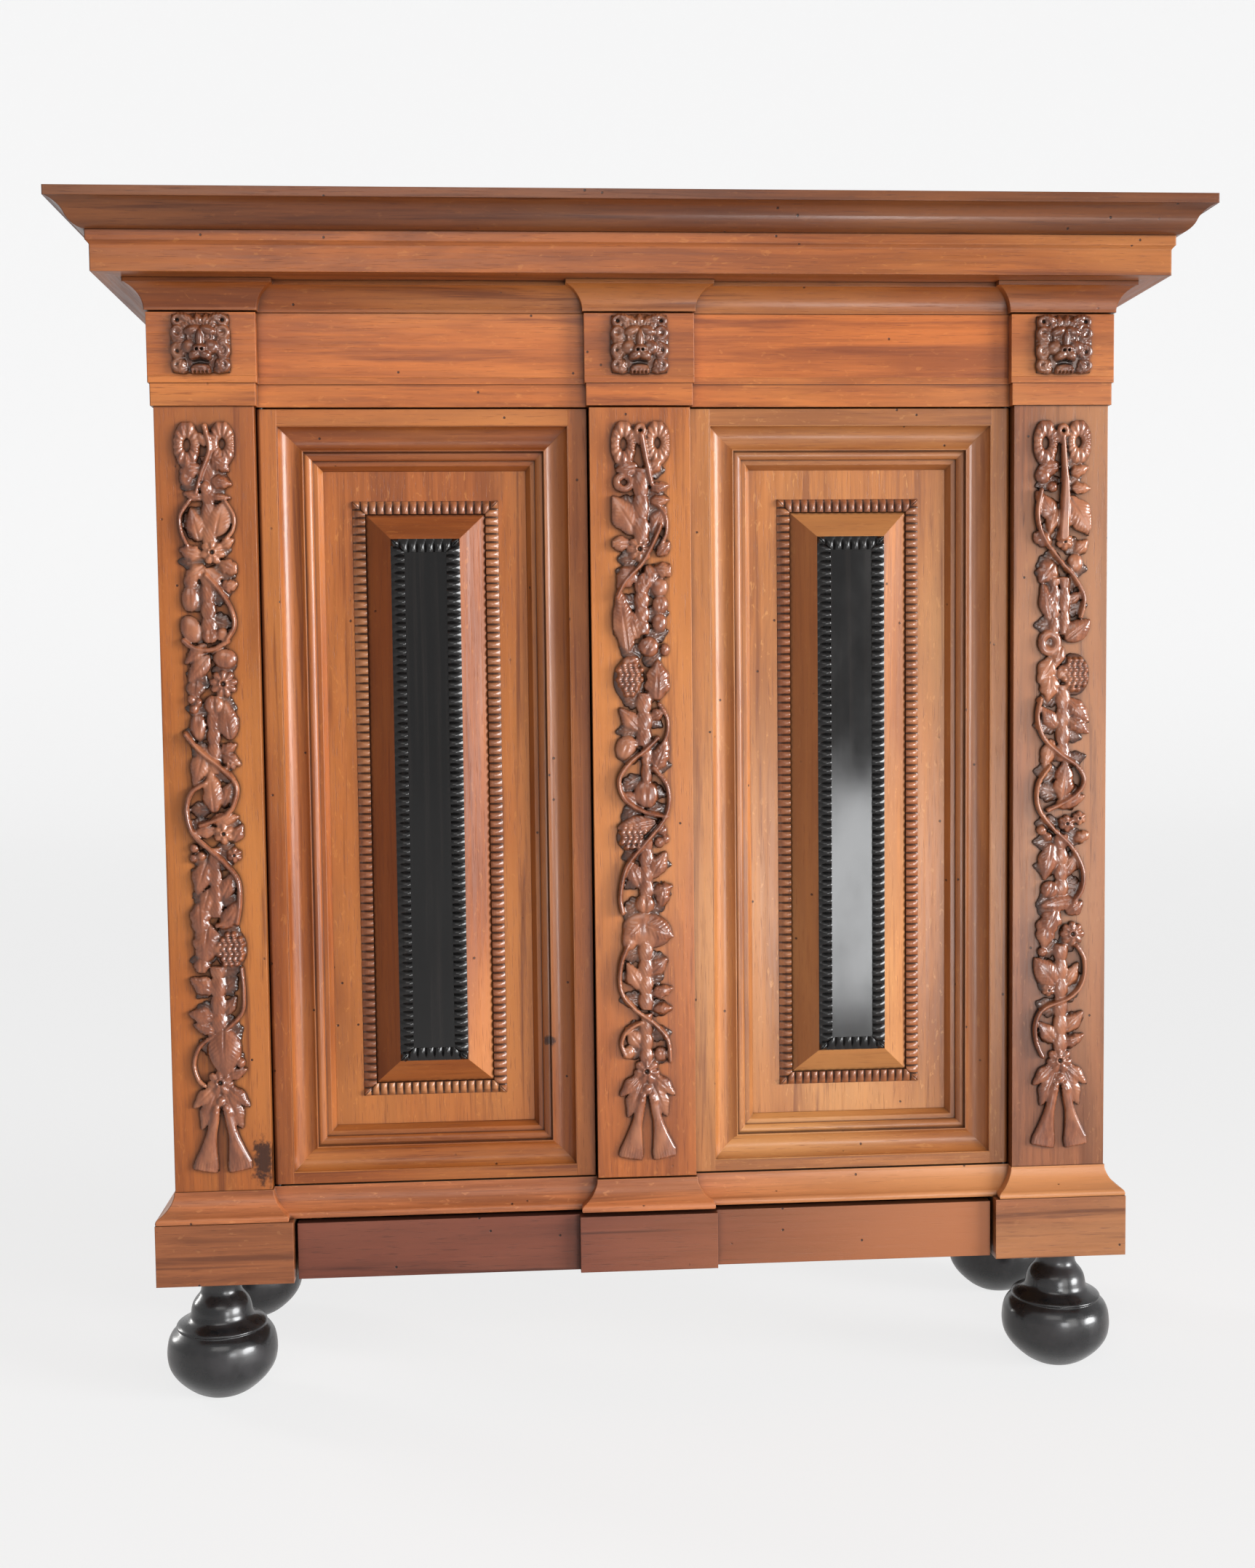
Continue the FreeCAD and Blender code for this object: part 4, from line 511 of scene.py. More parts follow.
class Relief:
    """A carving on a grid of square cells, in millimetres, that becomes a closed mesh.

    Down is measured from the carving's top edge, and turns are in degrees from straight up.
    """

    def __init__(self, width, height, cell):
        self.height = height
        columns, rows = (int(round(size / cell)) + 1 for size in (width, height))
        self.x, self.z = np.meshgrid(np.linspace(-width / 2, width / 2, columns),
                                     np.linspace(0, height, rows))
        self.tall = np.zeros_like(self.x)
        self.cover = np.full_like(self.x, -width)

    def local(self, x, down, turn=0.0):
        """Distances along and beside a line that starts at a point."""
        angle = math.radians(turn)
        off_x, off_z = self.x - x, self.z - (self.height - down)
        return (off_x * math.sin(angle) + off_z * math.cos(angle),
                off_x * math.cos(angle) - off_z * math.sin(angle))

    def oval(self, x, down, half_width, half_height, turn=0.0):
        """Distances along and beside the middle line of an oval, and the share of the way to its edge."""
        along, beside = self.local(x, down, turn)
        return along, beside, np.hypot(beside / half_width, along / half_height)

    def lay(self, cover, height):
        """Adds a form where its cover is positive, over or under what is there."""
        self.tall = np.where(cover > 0, np.maximum(self.tall, height), self.tall)
        self.cover = np.maximum(self.cover, cover)

    def lay_strip(self, along, beside, length, half, height):
        self.lay(np.minimum(half - np.abs(beside), np.minimum(along, length - along)), height)

    def dome(self, x, down, half_width, half_height, base, rise, turn=0.0, furrow=0.0):
        _, beside, reach = self.oval(x, down, half_width, half_height, turn)
        height = base + rise * np.sqrt(np.clip(1 - reach ** 2, 0, 1))
        if furrow:
            height -= furrow * np.exp(-(beside / (0.16 * half_width)) ** 2)
        self.lay((1 - reach) * min(half_width, half_height), height)

    def leaf(self, x, down, length, width, turn, base=4.0, rise=7.0, lobes=0, bend=0.0, veins=1.4):
        """A leaf from its stalk to its tip, with a sunk midrib and slanting veins."""
        along, beside = self.local(x, down, turn)
        share = np.clip(along / length, 0.001, 0.999)
        beside = beside - bend * width * share ** 2
        half = FULLNESS * width / 2 * np.sin(math.pi * share ** 0.8) ** 0.75
        if lobes:
            half = half * (0.8 + 0.2 * np.abs(np.cos(math.pi * lobes * share)))
        out = np.clip(np.abs(beside) / np.maximum(half, 0.1), 0, 1)
        height = base + 1.35 * rise * np.sqrt(1 - 0.85 * out ** 2) * (0.45 + 0.55 * np.sin(math.pi * share))
        height -= 3.2 * np.exp(-(beside / 1.5) ** 2) * (1 - share)
        height -= veins * (0.5 + 0.5 * np.cos(2 * math.pi * (along - 0.9 * np.abs(beside)) / 8.5)) * out
        self.lay_strip(along, beside, length, half, height)

    def flower(self, x, down, radius, petals, base=7.0, rise=6.0):
        along, beside = self.local(x, down)
        reach, angle = np.hypot(along, beside), np.arctan2(beside, along)
        scallop = np.abs(np.cos(petals * angle / 2))
        edge = radius * (0.72 + 0.28 * scallop ** 0.6)
        share = np.clip(reach / edge, 0, 1)
        height = base + rise * np.sin(math.pi * (0.12 + 0.8 * share)) * (0.45 + 0.55 * scallop)
        height += 4.5 * np.exp(-((reach - 0.26 * radius) / 1.7) ** 2)
        height -= 3.0 * np.exp(-(reach / 2.2) ** 2)
        self.lay(edge - reach, height)

    def grapes(self, x, down, rows, berry, base=7.0):
        """A bunch that narrows downwards, of berries in staggered rows."""
        along, beside = self.local(x, down + 0.8 * berry * (len(rows) - 1))
        spread = np.hypot(beside / (berry * (max(rows) + 0.3)), along / (berry * (len(rows) + 0.2)))
        self.lay((1 - spread) * berry * 3, base - 3 + 5 * np.sqrt(np.clip(1 - spread ** 2, 0, 1)))
        for row, count in enumerate(rows):
            for place in range(count):
                at = x + (place - (count - 1) / 2) * berry * 1.85 + (0.3 * berry if row % 2 else 0)
                swell = 1 - 0.45 * (abs(at - x) / (berry * max(rows))) ** 2
                self.dome(at, down + row * berry * 1.6, berry, berry, base + 2.5 * swell, berry * 1.35)

    def cord(self, points, radius, base=8.0, taper=1.0):
        """A round band along a smooth line through points of x and down."""
        line = smooth_line(points, CORD_STEPS)
        nearest = np.full_like(self.x, np.inf)
        thick = np.full_like(self.x, radius)
        for number, (start, end) in enumerate(zip(line, line[1:])):
            step = (end[0] - start[0], start[1] - end[1])
            size = math.hypot(*step) or 1e-6
            off_x, off_z = self.x - start[0], self.z - (self.height - start[1])
            t = np.clip((off_x * step[0] + off_z * step[1]) / size ** 2, 0, 1)
            away = np.hypot(off_x - t * step[0], off_z - t * step[1])
            share = (number + t) / len(line)
            thick = np.where(away < nearest, radius * (1 + (taper - 1) * share), thick)
            nearest = np.minimum(nearest, away)
        share = np.clip(nearest / thick, 0, 1)
        self.lay(thick - nearest, base + thick * 1.5 * np.sqrt(1 - share ** 2))

    def stem(self, x, top, foot, radius, base=6.0, rise=7.0, pitch=26.0):
        """A column of bell-shaped husks with slanting flutes."""
        along, beside = self.local(x, foot)
        length = foot - top
        phase = np.mod(along, pitch) / pitch
        half = FULLNESS * radius * (0.72 + 0.28 * np.sin(math.pi * phase) ** 0.7)
        share = np.clip(np.abs(beside) / half, 0, 1)
        height = base + rise * np.sqrt(1 - share ** 2) * (0.78 + 0.22 * np.sin(math.pi * phase))
        height -= 1.1 * (0.5 + 0.5 * np.cos(2 * math.pi * (along * 0.5 + beside) / 6.0))
        self.lay_strip(along, beside, length, half, height)

    def loop(self, x, down, half_width, half_height, band, base=6.0, rise=7.0, gathers=0):
        """An oval ribbon, gathered across its width."""
        along, beside, reach = self.oval(x, down, half_width, half_height)
        off = (reach - 1) * min(half_width, half_height)
        height = base + rise * np.sqrt(1 - np.clip(np.abs(off) / band, 0, 1) ** 2)
        if gathers:
            height -= 1.3 * (1 + np.cos(np.arctan2(beside, along) * gathers))
        self.lay(band - np.abs(off), height)

    def tassel(self, x, down, length, head, foot, lean=0.0, base=5.0, rise=8.0):
        """A smooth tube that opens into a skirt of strands."""
        along, beside = self.local(x, down, 180 - lean)
        share = np.clip(along / length, 0, 1)
        opening = np.clip((share - 0.38) / 0.5, 0, 1)
        half = head / 2 + (foot - head) / 2 * opening ** 1.3
        out = np.clip(np.abs(beside) / half, 0, 1)
        height = base + rise * np.sqrt(1 - out ** 2) * (1 - 0.35 * opening)
        height -= 0.8 * opening * (1 + np.cos(9 * math.pi * beside / half))
        height += 1.6 * np.exp(-((share - 0.07) / 0.035) ** 2)
        self.lay_strip(along, beside, length, half, height)

    def sink(self, x, down, half_width, half_height, floor):
        """Hollows what is there down to a floor, with soft edges."""
        reach = self.oval(x, down, half_width, half_height)[2]
        lowered = np.minimum(self.tall, floor + (self.tall - floor) * reach ** 4)
        self.tall = np.where(reach < 1, lowered, self.tall)

    def carve(self, table):
        for kind, facts in read_forms(table):
            getattr(self, kind)(*facts)

    def build(self, name, place, ceiling, material):
        """A closed mesh: a carved front, a flat back on the seat and walls between them."""
        tall = np.minimum(self.tall, ceiling)
        soft = tall.copy()
        beside = tall[:-2, 1:-1] + tall[2:, 1:-1] + tall[1:-1, :-2] + tall[1:-1, 2:]
        corners = tall[:-2, :-2] + tall[:-2, 2:] + tall[2:, :-2] + tall[2:, 2:]
        soft[1:-1, 1:-1] = (4 * tall[1:-1, 1:-1] + 2 * beside + corners) / 16
        inside = self.cover > 0
        cells = inside[:-1, :-1] & inside[1:, :-1] & inside[:-1, 1:] & inside[1:, 1:]
        tall = np.where(inside, np.maximum(soft, np.minimum(tall, THINNEST)), 0)
        padded = np.pad(cells, 1)
        around = [padded[:-1, :-1], padded[1:, :-1], padded[:-1, 1:], padded[1:, 1:]]
        used, rim = np.any(around, axis=0), ~np.all(around, axis=0)
        index = np.cumsum(used).reshape(used.shape) - 1
        count = int(used.sum())
        limit = self.x[0, 1] - self.x[0, 0]
        slope_z, slope_x = np.gradient(self.cover, self.z[1, 0] - self.z[0, 0], limit)
        steep = np.maximum(slope_x ** 2 + slope_z ** 2, 0.5)
        shift_x, shift_z = (np.where(rim, np.clip(-self.cover * slope / steep, -limit, limit), 0)
                            for slope in (slope_x, slope_z))
        across, upward = place[0] + (self.x + shift_x)[used] * MM, place[2] + (self.z + shift_z)[used] * MM
        points = np.concatenate([np.stack([across, place[1] - rise, upward], axis=1)
                                 for rise in (tall[used] * MM, np.zeros(count))])
        front = np.stack([index[:-1, :-1][cells], index[:-1, 1:][cells], index[1:, 1:][cells],
                          index[1:, :-1][cells]], axis=1)
        edges = np.concatenate([front[:, [k, (k + 1) % 4]] for k in range(4)])
        outer = ~np.isin(edges @ (count, 1), edges @ (1, count))
        a, b = edges[outer].T
        walls = np.stack([b, a, a + count, b + count], axis=1)
        faces = np.concatenate([front, front[:, ::-1] + count, walls])
        return new_object(name, points.tolist(), faces.tolist(), material)


# The forms of the carved drops, in millimetres. Each line has a kind, which is a method of Relief, and
# rows of what it takes. After a slash are a cord's points, as x and down, or the berries in each row
# of a bunch. Every drop starts and ends alike: a bow of gathered ribbon, and a rosette over leaves
# and two tassels.
DROP_FOOT = """
dome: -8 1262 7 8 10 6; 9 1262 7 8 10 6; 0 1250 8 9 9 6
flower: 0 1214 25 7 8
leaf: -4 1226 84 34 203 4 6 3; 6 1226 84 34 157 4 6 3; -10 1222 58 24 226 5 6 2; 12 1222 58 24 134 5 6 2
tassel: -9 1262 122 19 46 -11 7 8; 11 1262 122 19 46 11 7 8
"""
DROP_HEAD = """
dome: -3 30 9 15 6 6 -30
leaf: -3 82 44 28 262 4 7 2
loop: -31 40 15 28 9 5 8 13; 32 38 15 26 9.5 5 8 16
"""
LEFT_DROP = """
cord: 5.5 9 .6 / 2 6 10 48 -6 92 -16 128; 3.4 8 / 36 142 50 168 48 194 34 212;
  3.4 8 / -28 140 -46 168 -44 198 -34 222; 4.4 10 / -2 276 24 306 42 338 47 368 34 392;
  5 6 / -46 394 -24 410 6 411 34 396; 4.6 11 / -46 566 -20 598 14 626 42 658 40 690 22 716 -24 734;
  4.6 10 / -12 656 -38 672 -48 704 -40 744 -16 772 20 806 42 838 44 880 38 916;
  5 8 / 44 862 40 892 22 912 2 920; 3.6 8 / 44 1000 47 1044 43 1084 14 1114;
  3.8 7 / -8 1124 -36 1146 -47 1178 -40 1208 -28 1220
dome: -34 100 13 14 4 8; 1 118 10 13 8 7; -32 318 16 25 4 8 0 1; -30 290 13 12 4 7; -32 374 19 27 4 8 -20;
  2 386 15 15 6 8 0 2; 24 384 12 13 6 7 30; 28 428 22 19 5 10 10 1; -34 502 8 9 6 8; -22 508 8 9 6 8;
  -30 520 8 9 6 8; 6 512 18 18 6 9 0 3; -24 552 15 26 4 9 0 1; -36 776 9 9 6 8; -24 790 9 9 6 8;
  -38 794 8 8 5 7; 0 962 14 15 6 7 40; 38 1178 9 10 6 8
flower: 10 234 23 7; 24 474 26 9; 32 620 14 5 6 5; 18 750 20 6; 36 790 15 6
grapes: 25 938 5.6 6 / 2 4 5 4 5 4 3
leaf: 10 60 44 27 122 5 8 4 .2 2.4; 8 104 42 22 100 5 8 3 0 2.4; -4 136 38 18 285 4 6 2; 6 134 42 11 92 5 6;
  16 206 68 40 12 4 7 0 .1; -12 214 64 30 346 4 6 2; -8 240 44 26 286 4 7 3; 24 224 30 18 62 5 6 2;
  -4 258 50 26 232 4 7 3; 22 252 42 26 118 4 7 3; 6 262 50 34 176 4 6 3; 22 300 36 22 74 4 7 3 0 2.2;
  -4 400 56 22 228 4 6 2; 0 420 64 28 218 4 7 0 0 2; -26 462 44 30 184 3 5 2; 34 578 74 32 354 4 8;
  18 604 40 22 120 4 6 2; -12 590 78 32 196 4 7 2; 14 600 36 20 64 4 7 3 0 2.2; 2 712 82 34 356 5 8 3;
  18 700 50 26 20 4 6 3; -6 726 54 22 82 5 7 0 0 2; 6 742 48 24 262 4 6 2; 34 766 40 22 30 4 7 2;
  -14 800 66 34 198 4 7 2; 12 872 56 28 24 4 6 2; -10 850 60 28 196 4 6 3; 8 926 66 26 40 6 8 0 -.2;
  -30 876 70 34 178 4 8 3; -14 916 80 44 188 4 8 4; -30 1010 34 26 4 5 6 2; -6 1044 52 32 300 4 7 2;
  -6 1094 50 30 282 4 7 2; 8 1090 46 22 34 3 5 2; -2 1122 50 20 292 4 7 0 0 2.4; 9 1112 94 52 180 6 9 0 0 1.6;
  8 1208 46 20 66 5 6 2
stem: 5 60 222 12 5 6 38; 0 262 384 12 5 7 30; 4 526 640 11 5 7 28; 0 776 906 11 5 7 30; 0 996 1120 13 5 8 34
"""
CENTRE_DROP = """
cord: 6.5 9 .7 / 2 24 10 66 20 114; 3.6 8 / 30 150 46 174 46 206 36 226;
  3.8 11 / 36 190 26 214 2 258 -30 292 -46 322; 3.6 8 / 30 520 45 548 44 580 30 604;
  4.2 11 / 27 584 4 606 -26 630 -46 662 -36 698 0 722 42 732;
  4.2 11 / 18 640 42 670 47 708 34 742 2 780 -34 826 -46 880 -42 912;
  4 11 / -34 976 -47 1014 -46 1062 -20 1096 14 1122 40 1154 45 1196; 4 8 / -8 1120 -36 1136 -47 1160 -40 1184
dome: 6 292 15 17 6 8 0 2; 33 304 16 18 5 8; 34 336 15 17 5 8 0 1; 32 370 14 18 5 8; 12 414 19 18 7 9 30 2;
  42 420 9 12 5 8; -32 602 20 24 4 9 20 1; 4 690 23 27 5 9 0 1; 34 758 10 10 5 8; 40 774 8 9 5 8;
  28 780 10 11 5 8; 0 896 18 18 7 9 0 3; 4 946 47 34 4 10 12 1; -30 968 14 15 6 8; -34 1178 12 13 5 8;
  28 1182 14 14 5 8 0 1
flower: -3 233 25 8
grapes: -25 448 5.6 6 / 3 5 4 5 4 3 2; -22 752 5.6 6 / 4 5 4 5 3
leaf: 16 92 34 22 40 5 8 2; 18 124 36 20 76 5 8 3 0 2.4; 16 146 38 20 84 5 8 3 0 2.4; -8 206 84 46 328 4 7 2;
  20 206 60 30 26 4 6 2; -20 222 40 26 268 4 6 2; 30 246 36 22 40 5 7 3; 22 270 46 26 96 5 8 3 0 2.2;
  -10 266 54 34 222 4 7 3; 10 262 44 24 160 4 7 2; -26 424 120 38 352 4 8 2; -8 400 58 26 344 5 7 0 0 2;
  -6 436 46 22 246 5 6 2; 26 514 76 42 2 5 9 3 0 1.8; -6 570 58 28 318 4 6 2; -8 596 40 22 280 4 7 2;
  12 548 36 20 60 4 7 2; 20 646 66 30 22 5 8 4 0 2.2; -10 706 40 22 300 4 6 2; 24 742 76 32 262 5 7 0 0 2;
  10 848 60 30 32 4 7 2; 14 876 42 20 70 5 8 3 0 2.4; -8 866 62 30 338 4 6 2; 30 902 48 24 10 5 8 3 0 2.2;
  -2 934 60 34 108 9 6 0 .2 3; -4 930 54 30 226 8 6 0 0 3; -6 1060 62 30 330 4 7 2; 8 1030 46 26 46 4 7 2;
  10 1068 44 22 74 5 8 3 0 2.4; 12 1096 40 18 88 5 8 2 0 2.4; -6 1172 54 28 322 4 6 2
loop: 0 16 7 9 4.5 9 6; -31 110 13 12 7 4
stem: 0 84 218 13 6 9 42; 0 296 392 12 6 8; 2 500 600 13 5 8 32; 6 600 668 9 6 7 34; 3 774 884 12 5 8 30;
  0 966 1098 12 6 8 32; 0 1104 1200 11 6 8 28
"""
RIGHT_DROP = """
cord: 4.5 9 2.3 / 1 26 4 80 6 130 2 214; 4.2 11 / -40 128 -47 170 -38 212 -6 258 24 292 42 330 36 366;
  4.2 11 / -40 520 -46 556 -34 594 -4 624 32 650 44 680 22 708 -26 732;
  4.2 11 / -22 648 -44 682 -44 726 -18 764 20 802 42 844 42 882 26 908;
  4 10 / 32 992 47 1020 44 1062 20 1092 -30 1112 -47 1140 -46 1176 -34 1206
dome: -36 100 15 16 4 9; -18 122 10 10 6 7; 26 264 15 17 5 8 0 1; 4 470 13 16 6 7 30 1; -36 770 10 10 5 8;
  -24 782 9 9 5 8; -20 884 17 17 5 9 20 2; -34 1004 9 9 6 7
flower: 5 224 17 6; 12 758 17 6; 36 748 14 6; 24 970 24 8; -22 1078 13 6 6 5
grapes: 26 448 5.6 6 / 3 4 5 4 5 4 2
leaf: 14 98 40 20 70 5 8 3 0 2.4; 14 124 42 20 92 5 8 3 0 2.4; -8 190 74 34 326 4 7 2;
  12 138 94 44 152 5 9 3 -.2 2.2; 10 196 44 24 20 5 7 2; -10 160 52 26 196 5 8 2; -18 228 46 26 296 4 6 3;
  26 246 36 22 44 4 7 2; -12 262 50 36 218 4 7 3; -18 376 78 28 346 4 7 2; 14 340 36 18 50 4 6 2;
  8 410 62 34 48 6 8 0 .1; 0 420 44 24 196 5 7 2; -12 440 60 32 212 4 7 2; -20 470 56 34 186 4 8 3;
  12 520 62 30 138 5 8 3 0 2.4; 14 556 50 26 128 5 8 3 0 2.4; -8 576 54 26 322 4 7 2; -16 596 60 26 196 4 7 2;
  4 716 84 34 4 5 8 3; -10 724 62 24 72 5 7 0 0 2; 26 790 36 20 66 5 8 3 0 2.2; -16 794 74 34 192 4 8 2;
  10 860 54 24 26 4 6 2; 30 906 70 26 262 5 7 0 0 2; 12 930 40 28 56 5 8 2; -6 920 60 36 206 5 8 3;
  -22 930 70 36 188 4 7 3; -6 1070 70 38 322 4 8; 10 1072 54 24 30 4 6 2; 8 1160 56 26 44 4 7 2;
  8 1186 46 20 62 5 8 3 0 2.4; -6 1180 56 28 318 4 6 2
loop: 1 18 7 9 4.5 9 6; -22 414 15 17 8 5
stem: -14 292 398 9 5 8 30; 6 290 400 10 5 8 44; 4 494 640 12 5 8 34; 2 778 896 12 5 8 30;
  2 990 1200 12 5 8 36
"""
# A head's forms in the order they are cut. A starred kind is cut on both sides alike.
HEAD = """
loop*: 40 12 7 7 5 7 6; 41 92 7 8 5 7 6; 40 34 8 9 5.5 8; 40 66 8 10 5.5 7
leaf*: 12 16 34 15 62 7 7 0 0 2.6; 44 24 34 13 180 6 6 0 0 2.6; 20 100 32 14 84 6 6 0 0 2.6;
  30 78 30 16 162 6 7 0 0 2.6
dome*: 14 31 15 9 14 8 18; 13 43 7.5 5.5 12 6 10; 19 60 14 13 13 8 20; 9 75 12 9 17 9 25
dome: 0 53 54 56 4 6; 0 50 29 34 9 8; 0 48 7 20 17 8; 0 64 13 8.5 19 9
sink: 0 88 17 6.5 6
sink*: 4.5 66 2.6 2.2 16
loop*: 13 43 8.5 6.5 1.8 14 4
dome: 0 97 17 8 10 7
leaf: 0 94 14 7 180 10 6 0 0 1.5
leaf*: 7 94 14 7 180 10 6 0 0 1.5; 14 94 14 7 180 10 6 0 0 1.5
"""
LOCKS = 13
TURN_AT = {"leaf": 4, "dome": 6}  # where the turn stands in a row


def read_forms(table):
    """The rows of a table, each as its kind and what the method of that name takes."""
    forms = []
    for line in table.replace("\n  ", " ").strip().splitlines():
        kind, rows = line.split(":")
        for row in rows.split(";"):
            facts, _, more = row.partition("/")
            facts, more = [float(n) for n in facts.split()], [float(n) for n in more.split()]
            if kind == "cord":
                facts.insert(0, list(zip(more[::2], more[1::2])))
            elif kind == "grapes":
                facts.insert(2, [int(n) for n in more])
            forms.append((kind.strip("*"), facts))
            if kind.endswith("*"):
                turn_at = TURN_AT.get(kind[:-1])
                mirrored = [-fact if place in (0, turn_at) else fact for place, fact in enumerate(facts)]
                forms.append((kind[:-1], mirrored))
    return forms


def undergrowth(relief, seed):
    """Low leaves behind the main forms, so that little of the pilaster shows between them."""
    draw = random.Random(seed)
    side = 1
    for down in range(84, 1190, 23):
        relief.leaf(side * 2, down + draw.uniform(-6, 6), draw.uniform(42, 52), draw.uniform(27, 36),
                    side * draw.uniform(48, 128), 1.5, 4.0, 3, draw.uniform(-0.15, 0.15), 2.2)
        side = -side


def beast_head(relief, lean):
    """A lion-like head: mane in locks, brows, sunk eyes, a broad nose, whiskered cheeks and a beard."""
    along, beside = relief.local(0, 53)
    relief.lay(np.minimum(51 - np.abs(beside), 52 - np.abs(along)), 5 + 0 * along)
    for number in range(LOCKS):
        turn = -118 + 236 * number / (LOCKS - 1)
        reach = math.radians(turn)
        x, down = 22 * math.sin(reach), 50 - 22 * math.cos(reach)
        relief.leaf(x, down, 30, 17, turn + 8 * lean, 5, 8, 0, 0.12 * lean, 2.6)
    relief.carve(HEAD)


def place_carving(relief, name, node, body, middle_x, material):
    """Seats a carving at the back of the node's box, as high as the box allows."""
    low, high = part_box(node)
    piece = relief.build(name, (middle_x, high.y, low.z), (high.y - low.y) / MM, material)
    hand_over(piece, body, node)


def make_drops():
    """The three festoons, each on its own pilaster."""
    for side, body, plan in (("left", "cupboard", LEFT_DROP), ("centre", "door_right", CENTRE_DROP),
                             ("right", "cupboard", RIGHT_DROP)):
        node = f"festoon_{side}"
        low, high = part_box(node)
        relief = Relief((high.x - low.x) / MM, (high.z - low.z) / MM, DROP_CELL)
        undergrowth(relief, side)
        for table in (DROP_HEAD, plan, DROP_FOOT):
            relief.carve(table)
        place_carving(relief, f"carved_drop_{side}", node, body, span_middle(node, 0), CARVED["drops"])


def make_heads():
    """The three beast heads on the blocks of the frieze."""
    for number, node in enumerate(("pilaster_left", "pilaster_centre", "pilaster_right")):
        relief = Relief(HEAD_WIDTH, 2 * span_half("frieze_masks", 2) / MM, HEAD_CELL)
        beast_head(relief, number - 1)
        place_carving(relief, f"beast_head_{number + 1}", "frieze_masks", "cupboard",
                      span_middle(node, 0), CARVED["heads"])


make_drops()
make_heads()


# ---- ripple mouldings and turned feet
SHARP_ANGLE = math.radians(50)
OAK_RIPPLE = {"width": 0.024, "base": 0.002, "rise": 0.0062}
EBONY_RIPPLE = {"width": 0.025, "base": 0.0015, "rise": 0.0058}
STEPS_PER_RIPPLE = 8
NARROWEST = 0.0002
# Heights across a ripple moulding, as shares of the way over and of the full height
CROWN_SHARES = ((0.0, 0.08), (0.1, 0.3), (0.28, 0.66), (0.46, 0.93), (0.65, 1.0), (0.88, 0.96), (1.0, 0.72))


def sharp_object(name, points, faces, material):
    item = new_object(name, points, faces, material)
    item.data.set_sharp_from_angle(angle=SHARP_ANGLE)
    return item


def skin(faces, first, ring, rings):
    """Adds the faces between rings of points and one over each end."""
    for start in range(first, first + (rings - 1) * ring, ring):
        for k in range(ring):
            a, b = start + k, start + (k + 1) % ring
            faces.append((a, b, b + ring, a + ring))
    faces.append(tuple(range(first + ring - 1, first - 1, -1)))
    faces.append(tuple(range(first + (rings - 1) * ring, first + rings * ring)))


def ripple_strip(points, faces, place, run, out, half, width, base, rise):
    """One mitred length: run and out are its directions along the moulding and out of the frame."""
    count = round(2 * half / RIPPLE_PITCH) * STEPS_PER_RIPPLE
    ring = len(CROWN_SHARES) + 2
    first = len(points)
    for number in range(count + 1):
        along = -half + 2 * half * number / count
        kept = max(min(width, half - abs(along)), NARROWEST)
        swell = math.sin(math.pi * (number % STEPS_PER_RIPPLE) / STEPS_PER_RIPPLE) ** 0.8
        column = [(0.0, 0.0)] + [(share * kept, (base + rise * swell) * tall) for share, tall in CROWN_SHARES]
        column.append((kept, 0.0))
        for inward, tall in column:
            points.append(place + run * along - out * inward + Vector((0, -tall, 0)))
    skin(faces, first, ring, count + 1)


def make_ripples(side, label, sizes, material):
    """A rectangular frame of ripple moulding with mitred corners."""
    node = f"door_{side}_{label}"
    middle_x, middle_z, half_x, half_z = frame_facts(node)
    middle = Vector((middle_x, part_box(node)[1].y, middle_z))
    across, upright = Vector((1, 0, 0)), Vector((0, 0, 1))
    points, faces = [], []
    for run, out, half, reach in ((across, upright, half_x, half_z), (-across, -upright, half_x, half_z),
                                  (-upright, across, half_z, half_x), (upright, -across, half_z, half_x)):
        ripple_strip(points, faces, middle + out * reach, run, out, half, **sizes)
    piece = sharp_object(f"{node}_carved", points, faces, material)
    hand_over(piece, f"door_{side}", node)


# Radius and height down the turned foot, in millimetres
FOOT_PROFILE = ((42, 0), (45, 0.6), (60, 9), (76, 22), (90, 37), (100, 54), (104, 72), (104, 88),
                (101, 106), (95, 118), (89, 124), (85, 127.5), (84.5, 129.5), (86, 131.5), (84.5, 134.5),
                (80, 137.5), (72, 141), (65.5, 144.5), (61, 149), (58.5, 156), (57, 165), (54, 175),
                (48.5, 184), (42, 192), (38.5, 199), (37.5, 208), (38.5, 219), (41.5, 230), (46, 239),
                (48, 245))
FOOT_SIDES = 72
FOOT_RINGS = 3


def make_feet(material):
    """Four turned feet, one in each corner of the node's box."""
    low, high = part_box("bun_feet")
    radius = max(r for r, _ in FOOT_PROFILE) * MM
    rings = smooth_line(FOOT_PROFILE, FOOT_RINGS)
    for depth, y in (("front", low.y + radius), ("rear", high.y - radius)):
        for side, x in (("left", low.x + radius), ("right", high.x - radius)):
            points = [(x + r * MM * math.cos(2 * math.pi * k / FOOT_SIDES),
                       y + r * MM * math.sin(2 * math.pi * k / FOOT_SIDES), max(z, 0.0) * MM)
                      for r, z in rings for k in range(FOOT_SIDES)]
            faces = []
            skin(faces, 0, FOOT_SIDES, len(rings))
            piece = sharp_object(f"turned_foot_{depth}_{side}", points, faces, material)
            hand_over(piece, "cupboard", "bun_feet")


make_feet(BLACK_FEET)
for side, (ripple_oak, ripple_ebony) in RIPPLE_WOODS.items():
    make_ripples(side, "oak_ripple", OAK_RIPPLE, ripple_oak)
    make_ripples(side, "ebony_ripple", EBONY_RIPPLE, ripple_ebony)


